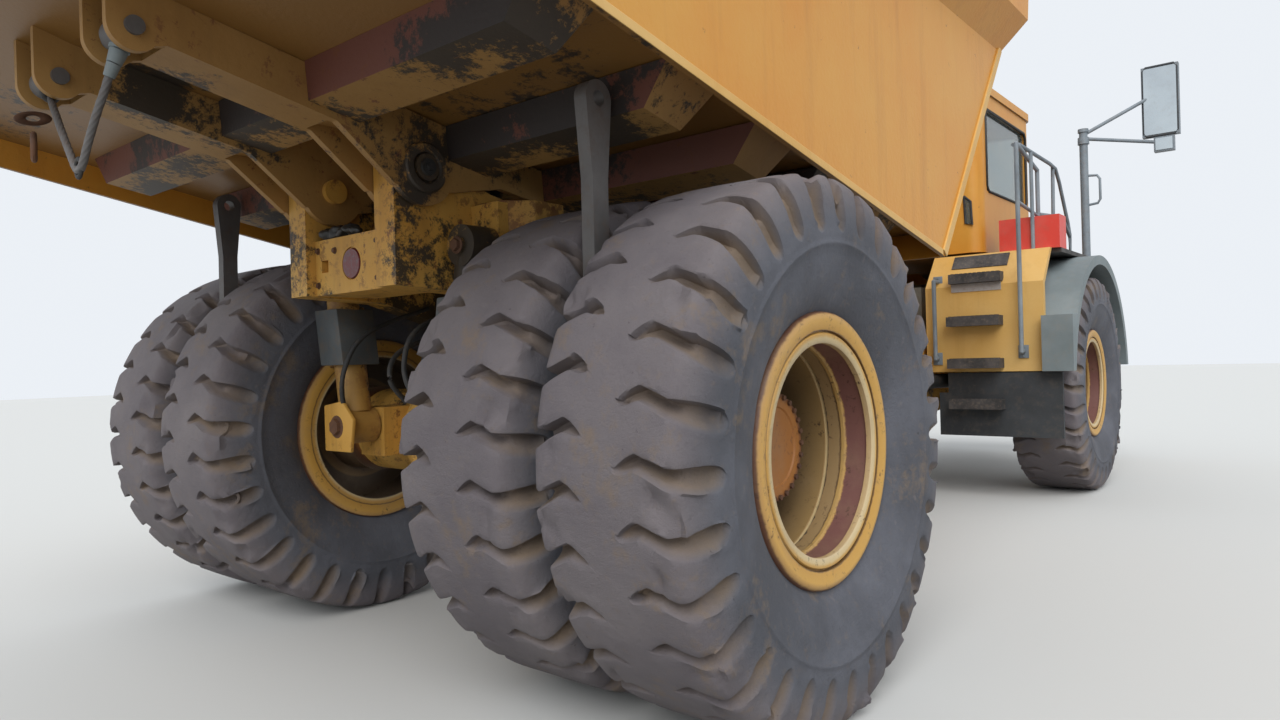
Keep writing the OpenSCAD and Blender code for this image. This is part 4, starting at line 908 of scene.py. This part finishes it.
def makeNose(n):
    bm = bmesh.new()
    (y0, z0), (y1, z1) = n["foot"], n["top"]
    half = n["half"]
    for k in range(n["slats"]):
        share = (k + 0.5) / n["slats"]
        y, z = y0 + (y1 - y0) * share, z0 + (z1 - z0) * share
        back, up = y + n["depth"], z + n["rise"]
        addPlate(bm, [(y, z), (back, up), (back, up + n["thick"]), (y, z + n["thick"])], "x", -half + 0.002,
                 2 * half - 0.004, 0.002)
    for x in n["uprights"]:  # they stand behind the slats
        addPlate(bm, [(y0 + 0.045, z0), (y1 + 0.045, z1), (y1 + 0.06, z1), (y0 + 0.06, z0)], "x",
                 x - n["uprightHalf"], 2 * n["uprightHalf"])
    addPlate(bm, [(y0 + 0.062, z0 - 0.01), (y1 + 0.062, z1), (y1 + 0.07, z1), (y0 + 0.07, z0 - 0.01)], "x",
             -half + 0.004, 2 * half - 0.008)
    finishPiece(bm, "noseLouvres", "darkPlastic", "bonnet")
    bm = bmesh.new()
    wide, tall = n["slot"]
    z, top, lean = n["sideZ"], n["sideZ"] + tall, n["lean"]
    for side in (-1, 1):
        for y in n["sideSlots"]:
            addPlate(bm, [(y, z), (y + wide, z), (y + wide + lean, top), (y + lean, top)], "x", side * n["sideX"],
                     side * 0.006, 0.002)
    finishPiece(bm, "sideLouvres", "darkPlastic", "bonnet")


makeNose(nose)

# Window seals as axis, place, span and heights, and the wiper on the windscreen
cabTrim = {"seals": [("y", -3.853, -0.82, 0.82, 2.85, 3.85), ("y", -2.047, -0.75, 0.75, 3.0, 3.82),
                     ("x", -0.953, -3.65, -2.25, 3.0, 3.82)], "radius": 0.014, "corner": 0.05,
           "arm": [(0.05, -3.868, 2.80), (0.05, -3.885, 2.84), (0.16, -3.885, 3.15), (0.30, -3.878, 3.50)],
           "blade": [(0.275, 3.22), (0.287, 3.22), (0.330, 3.78), (0.318, 3.78)], "pivot": (0.05, -3.85, 2.80)}


def makeCabTrim(c):
    bm = bmesh.new()
    r = c["corner"]
    for axis, place, low, high, z0, z1 in c["seals"]:
        loop = [(low + r, z0), (high - r, z0), (high, z0 + r), (high, z1 - r), (high - r, z1), (low + r, z1),
                (low, z1 - r), (low, z0 + r), (low + r, z0)]
        addPipe(bm, [(place, a, b) if axis == "x" else (a, place, b) for a, b in loop], c["radius"], 8)
    finishPiece(bm, "windowSeals", "darkRubber", "front_unit", smooth=60)
    bm = bmesh.new()
    addPipe(bm, c["arm"], 0.009, 8)
    addPlate(bm, c["blade"], "y", -3.879, 0.010)
    addBolt(bm, c["pivot"], (0, -1, 0), 0.03, 0.03, 20)
    finishPiece(bm, "wiper", "darkRubber", "front_unit", smooth=50)


makeCabTrim(cabTrim)
print("front trim made")

# Finishes of the frame's own nodes
dressing = {
    "yellowPaint": ["bed_tub", "bed_rails", "cab_shell", "cab_roof", "cab_door", "bonnet_shell"],
    "ribPaint": ["bed_ribs"],
    "lampGlass": ["head_lamps"],
    "hitchPaint": ["hitch_tube"],
    "panelPaint": ["step_panel_left", "step_panel_right"],
    "undersidePaint": ["bed_beams"],
    "framePaint": ["rear_frame", "rear_axle", "tail_beam", "front_frame", "tow_lug", "front_axle", "front_struts"],
    "strutPaint": ["rear_struts"],
    "greyPlastic": ["mudguard_left", "mudguard_right"],
    "darkPlastic": ["front_bumper", "lower_boxes", "grille", "cab_interior"],
    "bareSteel": ["rear_propshaft", "front_propshaft", "ejector_left", "ejector_right", "sling_fittings"],
    "railSteel": ["handrails", "mirrors", "exhaust"],
    "blackTread": ["steps", "decks"],
    "engineIron": ["engine_block"],
    "redPaint": ["deck_box"],
    "cabGlass": ["cab_glass", "door_glass"],
    "greasyBlack": ["tip_barrels", "steer_barrel_left", "steer_barrel_right"],
    "polishedRod": ["tip_stages", "tip_rods", "steer_rod_left", "steer_rod_right"],
}
for material, names in dressing.items():
    for name in names:
        nodes[name].data.materials.clear()
        nodes[name].data.materials.append(materials[material])
print("nodes dressed")

# Floor, world and sun; the floor bounces less light than it shows
studio = {"size": 60,
          "floor": (0.62, 0.62, 0.60), "bounce": (0.27, 0.265, 0.25), "world": (0.88, 0.92, 0.97), "ambient": 0.88,
          "shown": 0.95, "sun": 2.1, "softness": 0.8, "sunFrom": (-0.45, 0.66, 0.72)}


def seenOf(tree):  # 1 where the camera, a reflection or glass sees the surface
    path = addNode(tree, "LightPath").outputs
    seen = mathOf(tree, "MAXIMUM", path["Is Camera Ray"], path["Is Glossy Ray"])
    return mathOf(tree, "MAXIMUM", seen, path["Is Transmission Ray"])


def makeStudio(s):
    bm = bmesh.new()
    bmesh.ops.create_grid(bm, x_segments=1, y_segments=1, size=s["size"])
    floor = meshObject(bm, "floor")
    floor.location.z = -0.001
    made, tree, shader, _ = startMaterial("paleFloor", 0.9)
    colourWith(tree, shader, blendOf(tree, seenOf(tree), s["bounce"], s["floor"]))
    floor.data.materials.append(made)
    world = bpy.data.worlds.new("world")
    world.use_nodes = True
    tree = world.node_tree
    back = tree.nodes["Background"]
    back.inputs["Color"].default_value = rgba(s["world"])
    strength = addNode(tree, "MapRange", {"Value": seenOf(tree), "To Min": s["ambient"], "To Max": s["shown"]})
    tree.links.new(strength.outputs[0], back.inputs["Strength"])
    bpy.context.scene.world = world
    sun = bpy.data.lights.new("sun", "SUN")
    sun.energy, sun.angle = s["sun"], s["softness"]
    made = bpy.data.objects.new("sun", sun)
    made.rotation_euler = Vector(s["sunFrom"]).to_track_quat("Z", "Y").to_euler()
    bpy.context.scene.collection.objects.link(made)
    bpy.context.scene.view_settings.view_transform = "Standard"


makeStudio(studio)
